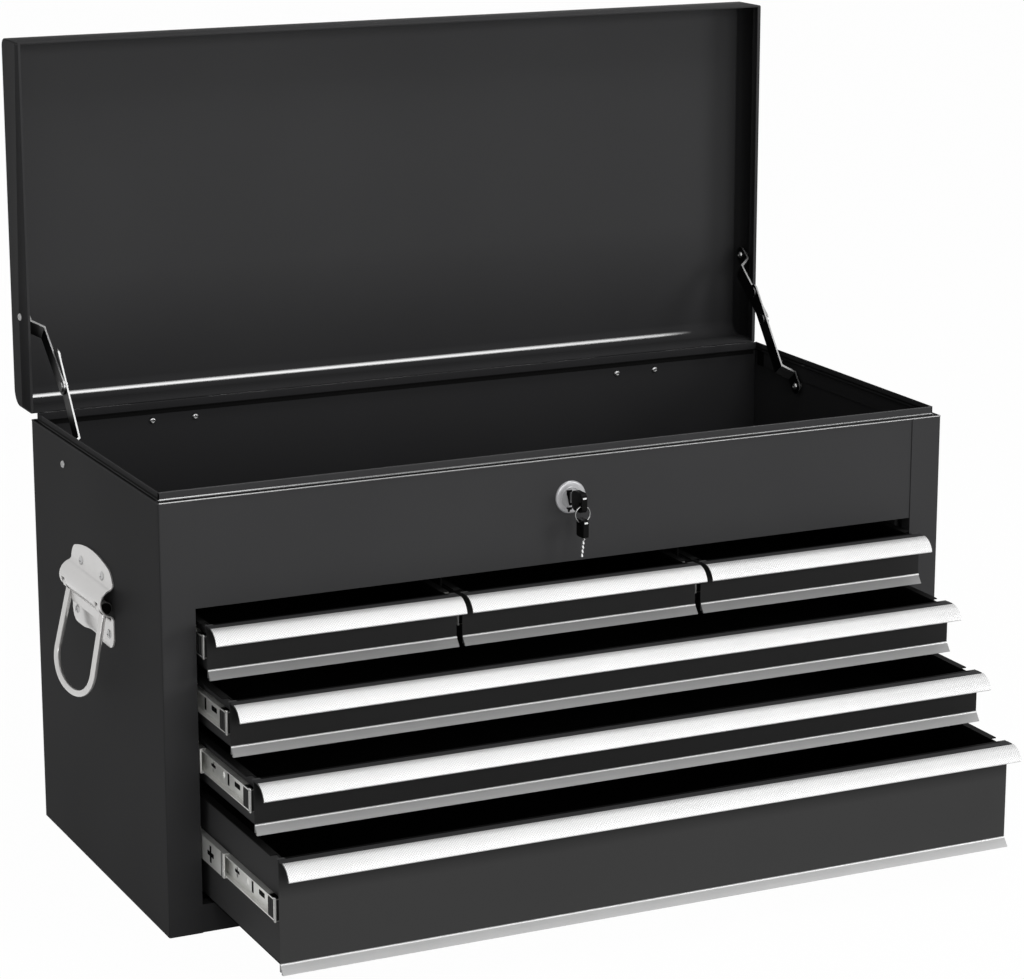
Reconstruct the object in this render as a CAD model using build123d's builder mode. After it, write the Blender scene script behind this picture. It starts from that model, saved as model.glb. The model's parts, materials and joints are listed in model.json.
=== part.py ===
# Six-drawer top chest with a lift-up lid, as photographed: lid open, drawers drawn out in steps.
# Origin at the middle of the underside, X to the right, Y to the back, Z up, in millimetres.
import os
from math import atan2, cos, hypot, radians, sin, sqrt

from build123d import *

os.makedirs("parts", exist_ok=True)

# Overall sizes
width = 600.0
depth = 272.0
body_height = 302.0
sheet = 0.8  # steel sheet of cabinet, lid and drawers
bend_radius = 1.2  # outside radius of a folded edge
overrun = 1.0  # how far a cutter runs past the face that it cuts
running_gap = 0.3  # between pieces that pass each other
pin_clearance = 0.05  # between a pin and its bore, all round

# Front frame and till
stile_width = 24.0
stile_return = 10.0
fascia_height = 74.3
rail_height = 20.0
rail_return = 10.0
front_lap = 12.0  # how far fascia and rail reach behind a stile
fascia_return = 10.0
floor_flange = 8.0

# Drawer rows, counted from the top
row_gap = 3.9
sill_gap = 1.75
head_gap = 7.6
row_units = (1, 1, 1, 2)
row_columns = (3, 1, 1, 1)
first_extension = 16.0  # how far the top row stands open
extension_step = 40.67  # each row stands this much further out than the row above
front_gap = 1.7  # from the end of a drawer front to the side of its cell
divider_thickness = 1.0
divider_setback = 14.0
divider_flange = 12.0
divider_foot = 2.0  # bottom edge of a divider above the bottom of the top drawers

# Slides: three nested channels
slide_gauge = 0.8
slide_thickness = 6.4
inner_member_height = 15.0
slide_setback = 14.0
slide_rear_room = 16.0
slide_lift = 1.0
middle_shortfall = 42.0
inner_shortfall = 10.0
inner_setback = 9.0
middle_setbacks = (49.0, 49.0, 49.0, 29.0)  # front of the middle member behind the cabinet front, shut
middle_share = 0.5  # the middle member moves half as far as its drawer
post_width = 30.0
post_setback = 20.0
slot_height = 8.0
slot_width = 2.0
slot_place = 57.0  # slot, hole and web edge behind the drawer front
hole_length = 7.0
hole_height = 3.2
hole_place = 40.0
web_place = 29.0
cross_length = 12.0
cross_width = 3.2
cross_place = 25.0  # crossed hole behind the front of the middle member
inner_cross_length = 8.0
inner_cross_width = 2.2
inner_cross_place = 85.0  # crossed hole of the inner member behind the drawer front

# Drawer trays and fronts
tray_depth = 244.0
tray_lift = 1.0
tray_drop = 1.5
tray_flange_setback = 14.0
front_flange = 10.0
front_drop = 0.2
pull_gauge = 1.3
pull_lip = 6.0
pull_reach = 17.8
pull_fall = 10.5
pull_leg = 13.0
pull_leg_inset = 8.0  # ends of the leg from the ends of the strip
pull_bead = 1.1
trim_gauge = 0.9
trim_height = 6.6
trim_reach = 4.7
trim_hem = 2.6

# Rim band that stands inside the shut lid
rim_height = 5.6
rim_leg = 13.0
rim_rear_leg = 5.0  # ends above the heads of the hinge rivets
rim_rear_inset = 6.0
rim_clearance = 1.2  # from the hem of the shut lid to the front of the band
rim_side_clearance = 0.3  # from the lips of the shut lid to the sides of the band

# Lid
lid_height = 38.0
lid_gap = 0.5  # from the body's top edge to the hem of the shut lid
lid_setback = 4.6
lid_rear_radius = 12.0
lid_front_radius = 6.0
lid_edge_radius = 1.0
hem_height = 6.5
lid_lip = 2.4  # turned in along the sides, from the outer face

# Hinges
hinge_inset = 108.3  # hinge centre from the side of the chest
hinge_length = 60.0
hinge_knuckles = 5
knuckle_radius = 2.2
pin_radius = 1.0
leaf_gauge = 1.0
leaf_height = 24.0
hinge_behind = 2.5  # axis behind the back face
hinge_above = 1.1  # axis above the body's top edge
hinge_rivet_spacing = 33.3
hinge_rivet_drop = 11.0

# Rivets
rivet_shank_radius = 2.0
rivet_head_radius = 2.7
rivet_head_height = 1.5
rivet_hole_clearance = 0.1
rivet_float = 0.1  # play along a stay rivet on each side of its tab
dome_share = 0.7  # bevel of a head, as a share of its height

# Lid stays, in the shut lid's and the body's own places from the hinge axis
stay_body_forward = 74.5
stay_body_below = 18.6
stay_lid_forward = 70.9
stay_lid_above = 15.5
stay_lower_length = 60.0
stay_slack = 1.0  # how much longer the two arms are than the open distance
stay_gauge = 1.2
stay_half_width = 6.0
stay_joggle_start = 10.0
stay_joggle_end = 17.0
stay_offset = 8.3  # from the tab to the upper arm
stay_tab_standoff = 0.4  # from the rim band to the tab
stay_tail = 24.0
elbow_head_radius = 4.0
elbow_head_height = 1.0

# Side handles
handle_back = 4.3  # handle centre behind the middle of the side
hood_drop = 92.6  # hood's centre below the body's top edge
hood_radius = 10.5
hood_wrap = 55.0  # degrees that the hood curls in below its widest point
hood_skirt = 7.4
skirt_half_length = 29.0
strap_width = 3.8  # straps at the hood's ends, which run on to the lower plate
bracket_gauge = 1.2
bracket_half_width = 44.3
bracket_shoulder = 19.9
bracket_crown = 27.5
bracket_fall = 33.5
bracket_arch = 2.6  # rise of the lower edge between the feet
bracket_arch_half = 24.0
bracket_corner = 9.0
bail_radius = 1.9
bail_half_width = 36.0
bail_spread = 3.0  # how much further apart the legs stand at their lower ends, each
bail_length = 67.8
bail_corner = 26.0
bail_top_corner = 5.0
bail_out = 4.8  # bail axis out from the wall
bail_below = 4.4  # bail axis below the hood's centre
bail_tilt = 12.0  # degrees off the wall
corner_share = 0.9  # rounding of the bail's upper corners, as a share of their room
screw_head_radius = 3.4
screw_head_height = 1.6
screw_shank_radius = 1.8
screw_tail = 4.0  # how far a screw reaches inside the wall
screw_upper_place = 22.4
screw_upper_rise = 14.2
screw_lower_place = 34.6
screw_lower_fall = 24.1

# Lock and keys
lock_drop = 28.3  # lock centre below the body's top edge
lock_face_radius = 11.6
lock_face_height = 1.6
lock_barrel_radius = 9.0
lock_barrel_length = 20.0
lock_hole_clearance = 0.2
lock_nut_radius = 13.0
lock_nut_height = 3.0
lock_nut_sides = 6
plug_radius = 6.5
plug_recess = 0.4
cam_gauge = 2.0
cam_half_width = 5.0
cam_length = 22.0
key_gauge = 2.0
key_blade_height = 7.0
key_blade_length = 19.0
key_slot_clearance = 0.2
key_tooth = 1.6
key_teeth = 4
tooth_angle = 45.0  # degrees
key_head_gauge = 4.0
key_head_length = 16.0
key_head_height = 14.0
key_head_standoff = 5.0
key_head_corner = 4.0
key_hole_radius = 2.0
key_hole_inset = 3.0
key_hole_drop = 1.7
ring_radius = 5.6
ring_wire_radius = 0.6
spare_head_width = 11.0
spare_head_height = 12.5
spare_hole_inset = 3.0
spare_head_corner = 1.5
spare_blade_width = 5.5
spare_blade_length = 14.0
spare_tooth_place = 2.5

# Places worked out from the sizes above
half_width = width / 2
front = -depth / 2
back = depth / 2
opening_width = width - 2 * stile_width
sill_top = rail_height + sill_gap
fascia_bottom = body_height - fascia_height
row_pitch = (fascia_bottom - head_gap + row_gap - sill_top) / sum(row_units)
floor_top = fascia_bottom + 2 * sheet
outer_length = depth - slide_setback - slide_rear_room
middle_length = outer_length - middle_shortfall
inner_length = outer_length - inner_shortfall
middle_height = inner_member_height + 2 * (running_gap + slide_gauge)
outer_height = middle_height + 2 * (running_gap + slide_gauge)
hinge_y = back + hinge_behind
hinge_z = body_height + hinge_above
lock_z = body_height - lock_drop
hood_height = body_height - hood_drop
hem_gauge = 2 * sheet
rim_side = lid_lip + rim_side_clearance
rim_front = lid_setback + hem_gauge + rim_clearance


def save(part, name):
    part.label = name
    export_step(part, f"parts/{name}.step")


# Cabinet wrap: sides, back and stiles from one folded sheet
with BuildPart() as cabinet_shell:
    with BuildSketch() as wrap_plan:
        Rectangle(width, depth)
        fillet(wrap_plan.vertices(), bend_radius)
        Rectangle(width - 2 * sheet, depth - 2 * sheet, mode=Mode.SUBTRACT)
        with Locations((0, front)):
            Rectangle(opening_width, 2 * (sheet + overrun), mode=Mode.SUBTRACT)
    extrude(amount=body_height)
    # Folded inner edges of the stiles beside the drawers
    with BuildSketch(Plane.XY.offset(rail_height)):
        for side in (-1, 1):
            with Locations((side * (opening_width + sheet) / 2, front + sheet)):
                Rectangle(sheet, stile_return, align=(Align.CENTER, Align.MIN))
    extrude(amount=fascia_bottom - rail_height)
    # Holes for the hinge and stay rivets
    hinge_places = [
        (side * (half_width - hinge_inset) + step * hinge_rivet_spacing / 2, hinge_z - hinge_rivet_drop)
        for side in (-1, 1)
        for step in (-1, 1)
    ]
    with BuildSketch(Plane.XZ.offset(-back - overrun)):
        with Locations(*hinge_places):
            Circle(rivet_shank_radius + rivet_hole_clearance)
    extrude(amount=sheet + 2 * overrun, mode=Mode.SUBTRACT)
    stay_body_place = (hinge_y - stay_body_forward, hinge_z - stay_body_below)
    with BuildSketch(Plane.YZ):
        with Locations(stay_body_place):
            Circle(rivet_shank_radius + rivet_hole_clearance)
    extrude(amount=half_width + overrun, both=True, mode=Mode.SUBTRACT)
    # Holes for the handle screws
    handle_y = handle_back
    screw_places = [
        (handle_y + side * place, hood_height + rise)
        for place, rise in ((screw_upper_place, screw_upper_rise), (screw_lower_place, -screw_lower_fall))
        for side in (-1, 1)
    ]
    with BuildSketch(Plane.YZ):
        with Locations(*screw_places):
            Circle(screw_shank_radius + rivet_hole_clearance)
    extrude(amount=half_width + overrun, both=True, mode=Mode.SUBTRACT)
save(cabinet_shell.part, "cabinet_shell")

# Front fascia with its bottom fold and the lock hole
with BuildPart() as front_fascia:
    with BuildSketch(Plane.XZ.offset(-front - sheet)):
        with Locations((0, fascia_bottom)):
            Rectangle(
                opening_width + 2 * front_lap,
                body_height - fascia_bottom,
                align=(Align.CENTER, Align.MIN),
            )
        with Locations((0, lock_z)):
            Circle(lock_barrel_radius + lock_hole_clearance, mode=Mode.SUBTRACT)
    extrude(amount=-sheet)
    with BuildSketch(Plane.XY.offset(fascia_bottom)):
        with Locations((0, front + sheet)):
            Rectangle(opening_width, fascia_return + sheet, align=(Align.CENTER, Align.MIN))
    extrude(amount=sheet)
save(front_fascia.part, "front_fascia")

# Bottom panel with the sill rail folded up at its front
with BuildPart() as bottom_panel:
    with BuildSketch(Plane.XY):
        Rectangle(width - 2 * sheet, depth - 2 * sheet)
    extrude(amount=sheet)
    with BuildSketch(Plane.XY):
        with Locations((0, front + sheet)):
            Rectangle(opening_width + 2 * front_lap, sheet, align=(Align.CENTER, Align.MIN))
    extrude(amount=rail_height)
    with BuildSketch(Plane.XY.offset(rail_height - sheet)):
        with Locations((0, front + sheet)):
            Rectangle(opening_width, rail_return, align=(Align.CENTER, Align.MIN))
    extrude(amount=sheet)
save(bottom_panel.part, "bottom_panel")

# Till floor: a shallow pan that rests on the fold of the fascia
with BuildPart() as till_floor:
    pan_depth = depth - 3 * sheet
    with BuildSketch(Plane.XY.offset(fascia_bottom + sheet)):
        with Locations((0, back - sheet)):
            Rectangle(width - 2 * sheet, pan_depth, align=(Align.CENTER, Align.MAX))
    extrude(amount=sheet + floor_flange)
    with BuildSketch(Plane.XY.offset(floor_top)):
        with Locations((0, back - 2 * sheet)):
            Rectangle(width - 4 * sheet, pan_depth + overrun, align=(Align.CENTER, Align.MAX))
    extrude(amount=floor_flange + overrun, mode=Mode.SUBTRACT)
save(till_floor.part, "till_floor")

# Posts inside the side walls: channels that carry the slides
with BuildPart() as slide_posts:
    post_reach = stile_width - sheet
    with BuildSketch(Plane.XY.offset(sheet)):
        for side in (-1, 1):
            for post_y in (front + post_setback, back - post_setback - post_width):
                with Locations((side * (half_width - sheet), post_y)):
                    Rectangle(
                        post_reach,
                        post_width,
                        align=(Align.MAX if side > 0 else Align.MIN, Align.MIN),
                    )
                with Locations((side * (half_width - sheet), post_y + sheet)):
                    Rectangle(
                        post_reach - sheet,
                        post_width - 2 * sheet,
                        align=(Align.MAX if side > 0 else Align.MIN, Align.MIN),
                        mode=Mode.SUBTRACT,
                    )
    extrude(amount=fascia_bottom)
save(slide_posts.part, "slide_posts")


# Drawer cells: name, centre, width, bottom, top, extension and middle-member setback of each
class Cell:
    def __init__(self, name, row, column):
        columns = row_columns[row]
        self.name = name
        self.cell_width = (opening_width - (columns - 1) * divider_thickness) / columns
        self.centre = (column - (columns - 1) / 2) * (self.cell_width + divider_thickness)
        self.front_width = self.cell_width - 2 * front_gap
        self.tray_width = self.cell_width - 2 * slide_thickness
        self.bottom = sill_top + sum(row_units[row + 1:]) * row_pitch
        self.top = self.bottom + row_units[row] * row_pitch - row_gap
        self.extension = first_extension + row * extension_step
        self.front_y = front - self.extension
        self.slide_z = (self.bottom + self.top) / 2 + slide_lift
        self.middle_y = front + middle_setbacks[row] - middle_share * self.extension


cells = [
    Cell("top_left_drawer", 0, 0),
    Cell("top_centre_drawer", 0, 1),
    Cell("top_right_drawer", 0, 2),
    Cell("second_drawer", 1, 0),
    Cell("third_drawer", 2, 0),
    Cell("bottom_drawer", 3, 0),
]

# Dividers between the top drawers, hung from the till floor and reaching the back wall
with BuildPart() as drawer_dividers:
    divider_top = fascia_bottom + sheet
    divider_bottom = cells[0].bottom + divider_foot
    divider_length = depth - divider_setback - sheet
    for side in (-1, 1):
        divider_x = side * (cells[1].cell_width + divider_thickness) / 2
        with BuildSketch(Plane.XZ.offset(-front - divider_setback)):
            with Locations((divider_x, divider_bottom)):
                Rectangle(divider_thickness, divider_top - divider_bottom, align=(Align.CENTER, Align.MIN))
            with Locations((divider_x, divider_top)):
                Rectangle(divider_flange, sheet, align=(Align.CENTER, Align.MAX))
        extrude(amount=-divider_length)
save(drawer_dividers.part, "drawer_dividers")


# One slide channel: a C section that opens towards +x, its web's back at x = 0
def channel_section(height, reach):
    Rectangle(reach, height, align=(Align.MIN, Align.CENTER))
    with Locations((slide_gauge, 0)):
        Rectangle(reach, height - 2 * slide_gauge, align=(Align.MIN, Align.CENTER), mode=Mode.SUBTRACT)


def slide_plane(cell, side, y_start, inset, outward):
    # Section plane at y_start, its x axis pointing into the cell, or out of it
    edge = cell.centre + side * (cell.cell_width / 2 - inset)
    direction = side if outward else -side
    return Plane(origin=(edge, y_start, cell.slide_z), x_dir=(direction, 0, 0), z_dir=(0, direction, 0))


def along(side, outward, length):
    # The section plane's normal points to the back on one side and to the front on the other
    direction = side if outward else -side
    return direction * length


with BuildPart() as slide_outer_members:
    outer_reach = slide_thickness - slide_gauge - running_gap
    for cell in cells:
        for side in (-1, 1):
            with BuildSketch(slide_plane(cell, side, front + slide_setback, 0, False)):
                channel_section(outer_height, outer_reach)
            extrude(amount=along(side, False, outer_length))
save(slide_outer_members.part, "slide_outer_members")


# Middle members with a crossed hole near the front
def middle_slides(cell):
    middle_inset = slide_gauge + running_gap
    middle_reach = slide_thickness - slide_gauge - running_gap - middle_inset
    with BuildPart() as members:
        for side in (-1, 1):
            with BuildSketch(slide_plane(cell, side, cell.middle_y, middle_inset, False)):
                channel_section(middle_height, middle_reach)
            extrude(amount=along(side, False, middle_length))
            edge = cell.centre + side * (cell.cell_width / 2 - middle_inset)
            with BuildSketch(Plane(origin=(edge, 0, 0), x_dir=(0, 1, 0), z_dir=(1, 0, 0))):
                with Locations((cell.middle_y + cross_place, cell.slide_z)):
                    Rectangle(cross_length, cross_width)
                    Rectangle(cross_width, cross_length)
            extrude(amount=slide_gauge + running_gap / 2, both=True, mode=Mode.SUBTRACT)
    return members.part


# Inner members: channels on the tray walls, their webs cut back behind a folded front stop
def inner_slides(cell):
    inner_reach = slide_thickness - 2 * (slide_gauge + running_gap)
    start = cell.front_y + inner_setback
    with BuildPart() as members:
        for side in (-1, 1):
            with BuildSketch(slide_plane(cell, side, start, slide_thickness, True)):
                channel_section(inner_member_height, inner_reach)
            extrude(amount=along(side, True, inner_length))
            edge = cell.centre + side * (cell.cell_width / 2 - slide_thickness + slide_gauge / 2)
            with BuildSketch(Plane(origin=(edge, 0, 0), x_dir=(0, 1, 0), z_dir=(1, 0, 0))):
                with Locations((cell.front_y + slot_place, cell.slide_z)):
                    Rectangle(slot_width, slot_height)
                with Locations((cell.front_y + hole_place, cell.slide_z)):
                    Rectangle(hole_length, hole_height)
                with Locations((cell.front_y + inner_cross_place, cell.slide_z)):
                    Rectangle(inner_cross_length, inner_cross_width)
                    Rectangle(inner_cross_width, inner_cross_length)
                with Locations((start + slide_gauge, cell.slide_z)):
                    Rectangle(
                        web_place - inner_setback - slide_gauge,
                        inner_member_height - 2 * slide_gauge,
                        align=(Align.MIN, Align.CENTER),
                    )
            extrude(amount=slide_gauge, both=True, mode=Mode.SUBTRACT)
            with BuildSketch(slide_plane(cell, side, start, slide_thickness, True)):
                Rectangle(inner_reach, inner_member_height, align=(Align.MIN, Align.CENTER))
            extrude(amount=along(side, True, slide_gauge))
    return members.part


# Tray: a shell of sheet with a wider folded front and side flanges over the slides
def drawer_tray(cell):
    floor_z = cell.bottom + tray_lift
    wall_top = cell.top - tray_drop
    front_top = cell.top - front_drop
    wall_front = cell.front_y + sheet
    with BuildPart() as tray:
        with BuildSketch(Plane.XY.offset(floor_z)):
            with Locations((cell.centre, wall_front)):
                Rectangle(cell.tray_width, tray_depth, align=(Align.CENTER, Align.MIN))
        extrude(amount=wall_top - floor_z)
        offset(amount=-sheet, openings=tray.faces().sort_by(Axis.Z)[-1])
        # Front: face and top fold as one bent strip
        with BuildSketch(Plane.YZ.offset(cell.centre)):
            with Locations((cell.front_y, floor_z)):
                Rectangle(sheet, front_top - floor_z, align=(Align.MIN, Align.MIN))
            with Locations((cell.front_y, front_top)):
                Rectangle(front_flange, sheet, align=(Align.MIN, Align.MAX))
        extrude(amount=cell.front_width / 2, both=True)
        # Flanges along the tops of the side walls
        flange_reach = slide_thickness - front_gap
        with BuildSketch(Plane.XY.offset(wall_top)):
            for side in (-1, 1):
                flange_y = cell.front_y + tray_flange_setback
                with Locations((cell.centre + side * cell.tray_width / 2, flange_y)):
                    Rectangle(
                        flange_reach,
                        tray_depth + sheet - tray_flange_setback,
                        align=(Align.MIN if side > 0 else Align.MAX, Align.MIN),
                    )
        extrude(amount=-sheet)
    return tray.part


# Pull strip: leg on the drawer front, flat lip, rounded fall and a bead along the lower edge
def drawer_pull(cell):
    reach = pull_reach
    with BuildPart() as pull:
        with BuildSketch(Plane.YZ.offset(cell.centre)):
            with BuildLine():
                outside = Line((cell.front_y, cell.top), (cell.front_y - pull_lip, cell.top))
                fall = TangentArc(
                    outside @ 1,
                    (cell.front_y - reach, cell.top - pull_fall),
                    tangent=(-1, 0),
                )
                tip = fall @ 1
                Line(tip, (tip.X + pull_gauge, tip.Y))
                TangentArc(
                    (cell.front_y - pull_lip, cell.top - pull_gauge),
                    (tip.X + pull_gauge, tip.Y),
                    tangent=(-1, 0),
                )
                Polyline(
                    (cell.front_y - pull_lip, cell.top - pull_gauge),
                    (cell.front_y, cell.top - pull_gauge),
                    (cell.front_y, cell.top),
                )
            make_face()
            with Locations((tip.X + pull_bead, tip.Y)):
                Circle(pull_bead)
        extrude(amount=cell.front_width / 2, both=True)
        with BuildSketch(Plane.YZ.offset(cell.centre)):
            with Locations((cell.front_y, cell.top)):
                Rectangle(pull_gauge, pull_leg, align=(Align.MAX, Align.MAX))
        extrude(amount=cell.front_width / 2 - pull_leg_inset, both=True)
    return pull.part


# Lower trim: a bent strip that leans out from the drawer front and hems back at its lower edge
def drawer_trim(cell):
    with BuildPart() as trim:
        with BuildSketch(Plane.YZ.offset(cell.centre)):
            with BuildLine():
                Polyline(
                    (cell.front_y, cell.bottom + trim_height),
                    (cell.front_y - trim_reach, cell.bottom),
                    (cell.front_y - trim_reach + trim_hem, cell.bottom),
                    (cell.front_y - trim_reach + trim_hem, cell.bottom + trim_gauge),
                    (cell.front_y - trim_reach + 2 * trim_gauge, cell.bottom + trim_gauge),
                    (cell.front_y - trim_gauge, cell.bottom + trim_height - 2 * trim_gauge),
                    (cell.front_y - trim_gauge, cell.bottom + tray_lift),
                    (cell.front_y, cell.bottom + tray_lift),
                    close=True,
                )
            make_face()
        extrude(amount=cell.front_width / 2, both=True)
    return trim.part


for cell in cells:
    save(drawer_tray(cell), f"{cell.name}_tray")
    save(drawer_pull(cell), f"{cell.name}_pull")
    save(drawer_trim(cell), f"{cell.name}_trim")
    save(inner_slides(cell), f"{cell.name}_inner_slides")
    save(middle_slides(cell), f"{cell.name}_middle_slides")


# Z section of the rim band: leg on the wall, ledge at the body's top edge, band
def rim_section(wall, band, inward, leg):
    return (
        (wall, body_height - leg),
        (wall, body_height),
        (band, body_height),
        (band, body_height + rim_height),
        (band + inward * sheet, body_height + rim_height),
        (band + inward * sheet, body_height - sheet),
        (wall + inward * sheet, body_height - sheet),
        (wall + inward * sheet, body_height - leg),
    )


# Rim band all round, its rear leg cut short above the hinge rivets
with BuildPart() as top_rim:
    inner_front = front + 2 * sheet
    inner_back = back - sheet
    band_front = front + rim_front
    band_back = back - rim_rear_inset
    for side in (-1, 1):
        with BuildSketch(Plane.XZ.offset(-inner_front)):
            section = rim_section(side * (half_width - sheet), side * (half_width - rim_side), -side, rim_leg)
            Polygon(*section, align=None)
        extrude(amount=inner_front - inner_back)
    # The side bands stop at the front and rear ones, so the ledges outside those stay flat
    with BuildSketch(Plane.XY.offset(body_height)):
        for ledge, edge in ((inner_front, Align.MIN), (inner_back, Align.MAX)):
            with Locations((0, ledge)):
                ledge_depth = band_front - inner_front if edge == Align.MIN else inner_back - band_back
                Rectangle(width, ledge_depth, align=(Align.CENTER, edge))
    extrude(amount=rim_height + overrun, mode=Mode.SUBTRACT)
    with BuildSketch(Plane.YZ):
        Polygon(*rim_section(inner_front, band_front, 1, rim_leg), align=None)
        Polygon(*rim_section(inner_back, band_back, -1, rim_rear_leg), align=None)
    extrude(amount=half_width - rim_side, both=True)
save(top_rim.part, "top_rim")

# The lid is drawn shut, in a frame that stands on the hinge axis and is turned open by a right angle:
# its x runs to the right, its y to the back of the shut lid and its z up from it
lid_plane = Plane(origin=(0, hinge_y, hinge_z), x_dir=(1, 0, 0), z_dir=(0, 1, 0))
lid_side_plane = Plane(origin=(0, hinge_y, hinge_z), x_dir=(0, 0, -1), z_dir=(1, 0, 0))
lid_rear = -hinge_behind
lid_front = lid_setback - depth - hinge_behind
lid_hem = lid_gap - hinge_above

with BuildPart() as lid_shell:
    # Side outline of the lid, rounded along its front and rear
    with BuildSketch(lid_side_plane) as lid_outline:
        with Locations(((lid_front + lid_rear) / 2, lid_hem)):
            Rectangle(lid_rear - lid_front, lid_height, align=(Align.CENTER, Align.MIN))
        fillet(lid_outline.vertices().group_by(Axis.Y)[-1].sort_by(Axis.X)[-1], lid_rear_radius)
        fillet(lid_outline.vertices().group_by(Axis.Y)[-1].sort_by(Axis.X)[0], lid_front_radius)
    extrude(amount=half_width, both=True)
    lid_ends = lid_shell.faces().filter_by(Axis.X)
    fillet(lid_ends.edges().filter_by(lambda edge: edge.center().Y > hinge_y), lid_edge_radius)
    hem_face = lid_shell.faces().sort_by(Axis.Y)[0]
    offset(amount=-sheet, openings=hem_face)
    # Hem folded in along the front
    with BuildSketch(lid_plane.offset(lid_hem)):
        with Locations((0, lid_front + sheet)):
            Rectangle(width - 2 * sheet, sheet, align=(Align.CENTER, Align.MIN))
    extrude(amount=hem_height)
    # Lips turned in along the sides
    with BuildSketch(lid_plane.offset(lid_hem)):
        for side in (-1, 1):
            with Locations((side * (half_width - sheet), (lid_front + lid_rear) / 2)):
                Rectangle(
                    lid_lip - sheet,
                    lid_rear - lid_front - 2 * sheet,
                    align=(Align.MAX if side > 0 else Align.MIN, Align.CENTER),
                )
    extrude(amount=sheet)
    # Holes for the stay rivets
    with BuildSketch(lid_side_plane):
        with Locations((-stay_lid_forward, stay_lid_above)):
            Circle(rivet_shank_radius + rivet_hole_clearance)
    extrude(amount=half_width + overrun, both=True, mode=Mode.SUBTRACT)
save(lid_shell.part, "lid_shell")


# One hinge leaf with every second knuckle, drawn on the plane whose x axis runs along the leaf's height
def hinge_leaf(plane, centre_x, first, height):
    pitch = hinge_length / hinge_knuckles
    base = plane.offset(centre_x - hinge_length / 2)
    lower = knuckle_radius + running_gap
    inner = -hinge_behind
    with BuildPart() as leaf:
        with BuildSketch(base):
            with Locations((inner, lower)):
                Rectangle(leaf_gauge, height - lower, align=(Align.MIN, Align.MIN))
        extrude(amount=hinge_length)
        for index in range(first, hinge_knuckles, 2):
            with BuildSketch(base.offset(index * pitch + running_gap / 2)):
                Circle(knuckle_radius)
                with Locations((inner, 0)):
                    Rectangle(leaf_gauge, lower + leaf_gauge, align=(Align.MIN, Align.MIN))
                Circle(pin_radius + pin_clearance, mode=Mode.SUBTRACT)
            extrude(amount=pitch - running_gap)
    return leaf.part


# The leaf's plane: x from the axis to the back of the shut chest, y away from the axis along the leaf
body_leaf_plane = Plane(origin=(0, hinge_y, hinge_z), x_dir=(0, 1, 0), z_dir=(-1, 0, 0))
lid_leaf_plane = Plane(origin=(0, hinge_y, hinge_z), x_dir=(0, 0, -1), z_dir=(1, 0, 0))
hinge_centres = [side * (half_width - hinge_inset) for side in (-1, 1)]

with BuildPart() as hinge_body_leaves:
    for centre_x in hinge_centres:
        add(hinge_leaf(body_leaf_plane, -centre_x, 0, leaf_height))
    with BuildSketch(Plane.XZ.offset(-back - leaf_gauge - overrun)):
        with Locations(*hinge_places):
            Circle(rivet_shank_radius + rivet_hole_clearance)
    extrude(amount=leaf_gauge + 2 * overrun, mode=Mode.SUBTRACT)
    # The pins, staked in the body leaves
    for centre_x in hinge_centres:
        with BuildSketch(body_leaf_plane.offset(-centre_x - hinge_length / 2)):
            Circle(pin_radius)
        extrude(amount=hinge_length)
save(hinge_body_leaves.part, "hinge_body_leaves_and_pins")

with BuildPart() as hinge_lid_leaves:
    for centre_x in hinge_centres:
        add(hinge_leaf(lid_leaf_plane, centre_x, 1, leaf_height))
save(hinge_lid_leaves.part, "hinge_lid_leaves")


# Rivet turned about the z axis of its plane: head below, shank, collar and upper head
def rivet(plane, stack, collar):
    dome = rivet_head_height
    with BuildPart() as piece:
        with BuildSketch(plane.offset(-dome)):
            Circle(rivet_head_radius)
        extrude(amount=dome)
        rims = piece.edges().sort_by(lambda edge: plane.to_local_coords(edge.center()).Z)
        chamfer(rims[0], dome * dome_share)
        with BuildSketch(plane):
            Circle(rivet_shank_radius)
        extrude(amount=stack)
        if collar:
            with BuildSketch(plane.offset(collar[0])):
                Circle(rivet_head_radius)
            extrude(amount=collar[1] - collar[0])
        with BuildSketch(plane.offset(stack)):
            Circle(rivet_head_radius)
        extrude(amount=dome)
        rims = piece.edges().sort_by(lambda edge: plane.to_local_coords(edge.center()).Z)
        chamfer(rims[-1], dome * dome_share)
    return piece.part


tab_inner = rim_side + sheet + stay_tab_standoff  # tab's outer face from the chest's side
with BuildPart() as wall_rivets:
    for place in hinge_places:
        inner_face = Plane(origin=(place[0], back - sheet, place[1]), z_dir=(0, 1, 0))
        add(rivet(inner_face, sheet + leaf_gauge, None))
    for side in (-1, 1):
        stay_plane = Plane(
            origin=(side * half_width, stay_body_place[0], stay_body_place[1]),
            x_dir=(0, 1, 0),
            z_dir=(-side, 0, 0),
        )
        collar = (sheet, tab_inner - rivet_float)
        add(rivet(stay_plane, tab_inner + stay_gauge + rivet_float, collar))
save(wall_rivets.part, "wall_rivets")

with BuildPart() as stay_lid_rivets:
    stay_lid_place = (hinge_y + stay_lid_above, hinge_z + stay_lid_forward)
    for side in (-1, 1):
        stay_plane = Plane(
            origin=(side * half_width, stay_lid_place[0], stay_lid_place[1]),
            x_dir=(0, 1, 0),
            z_dir=(-side, 0, 0),
        )
        collar = (sheet, tab_inner - rivet_float)
        add(rivet(stay_plane, tab_inner + stay_gauge + rivet_float, collar))
save(stay_lid_rivets.part, "stay_lid_rivets")

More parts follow.
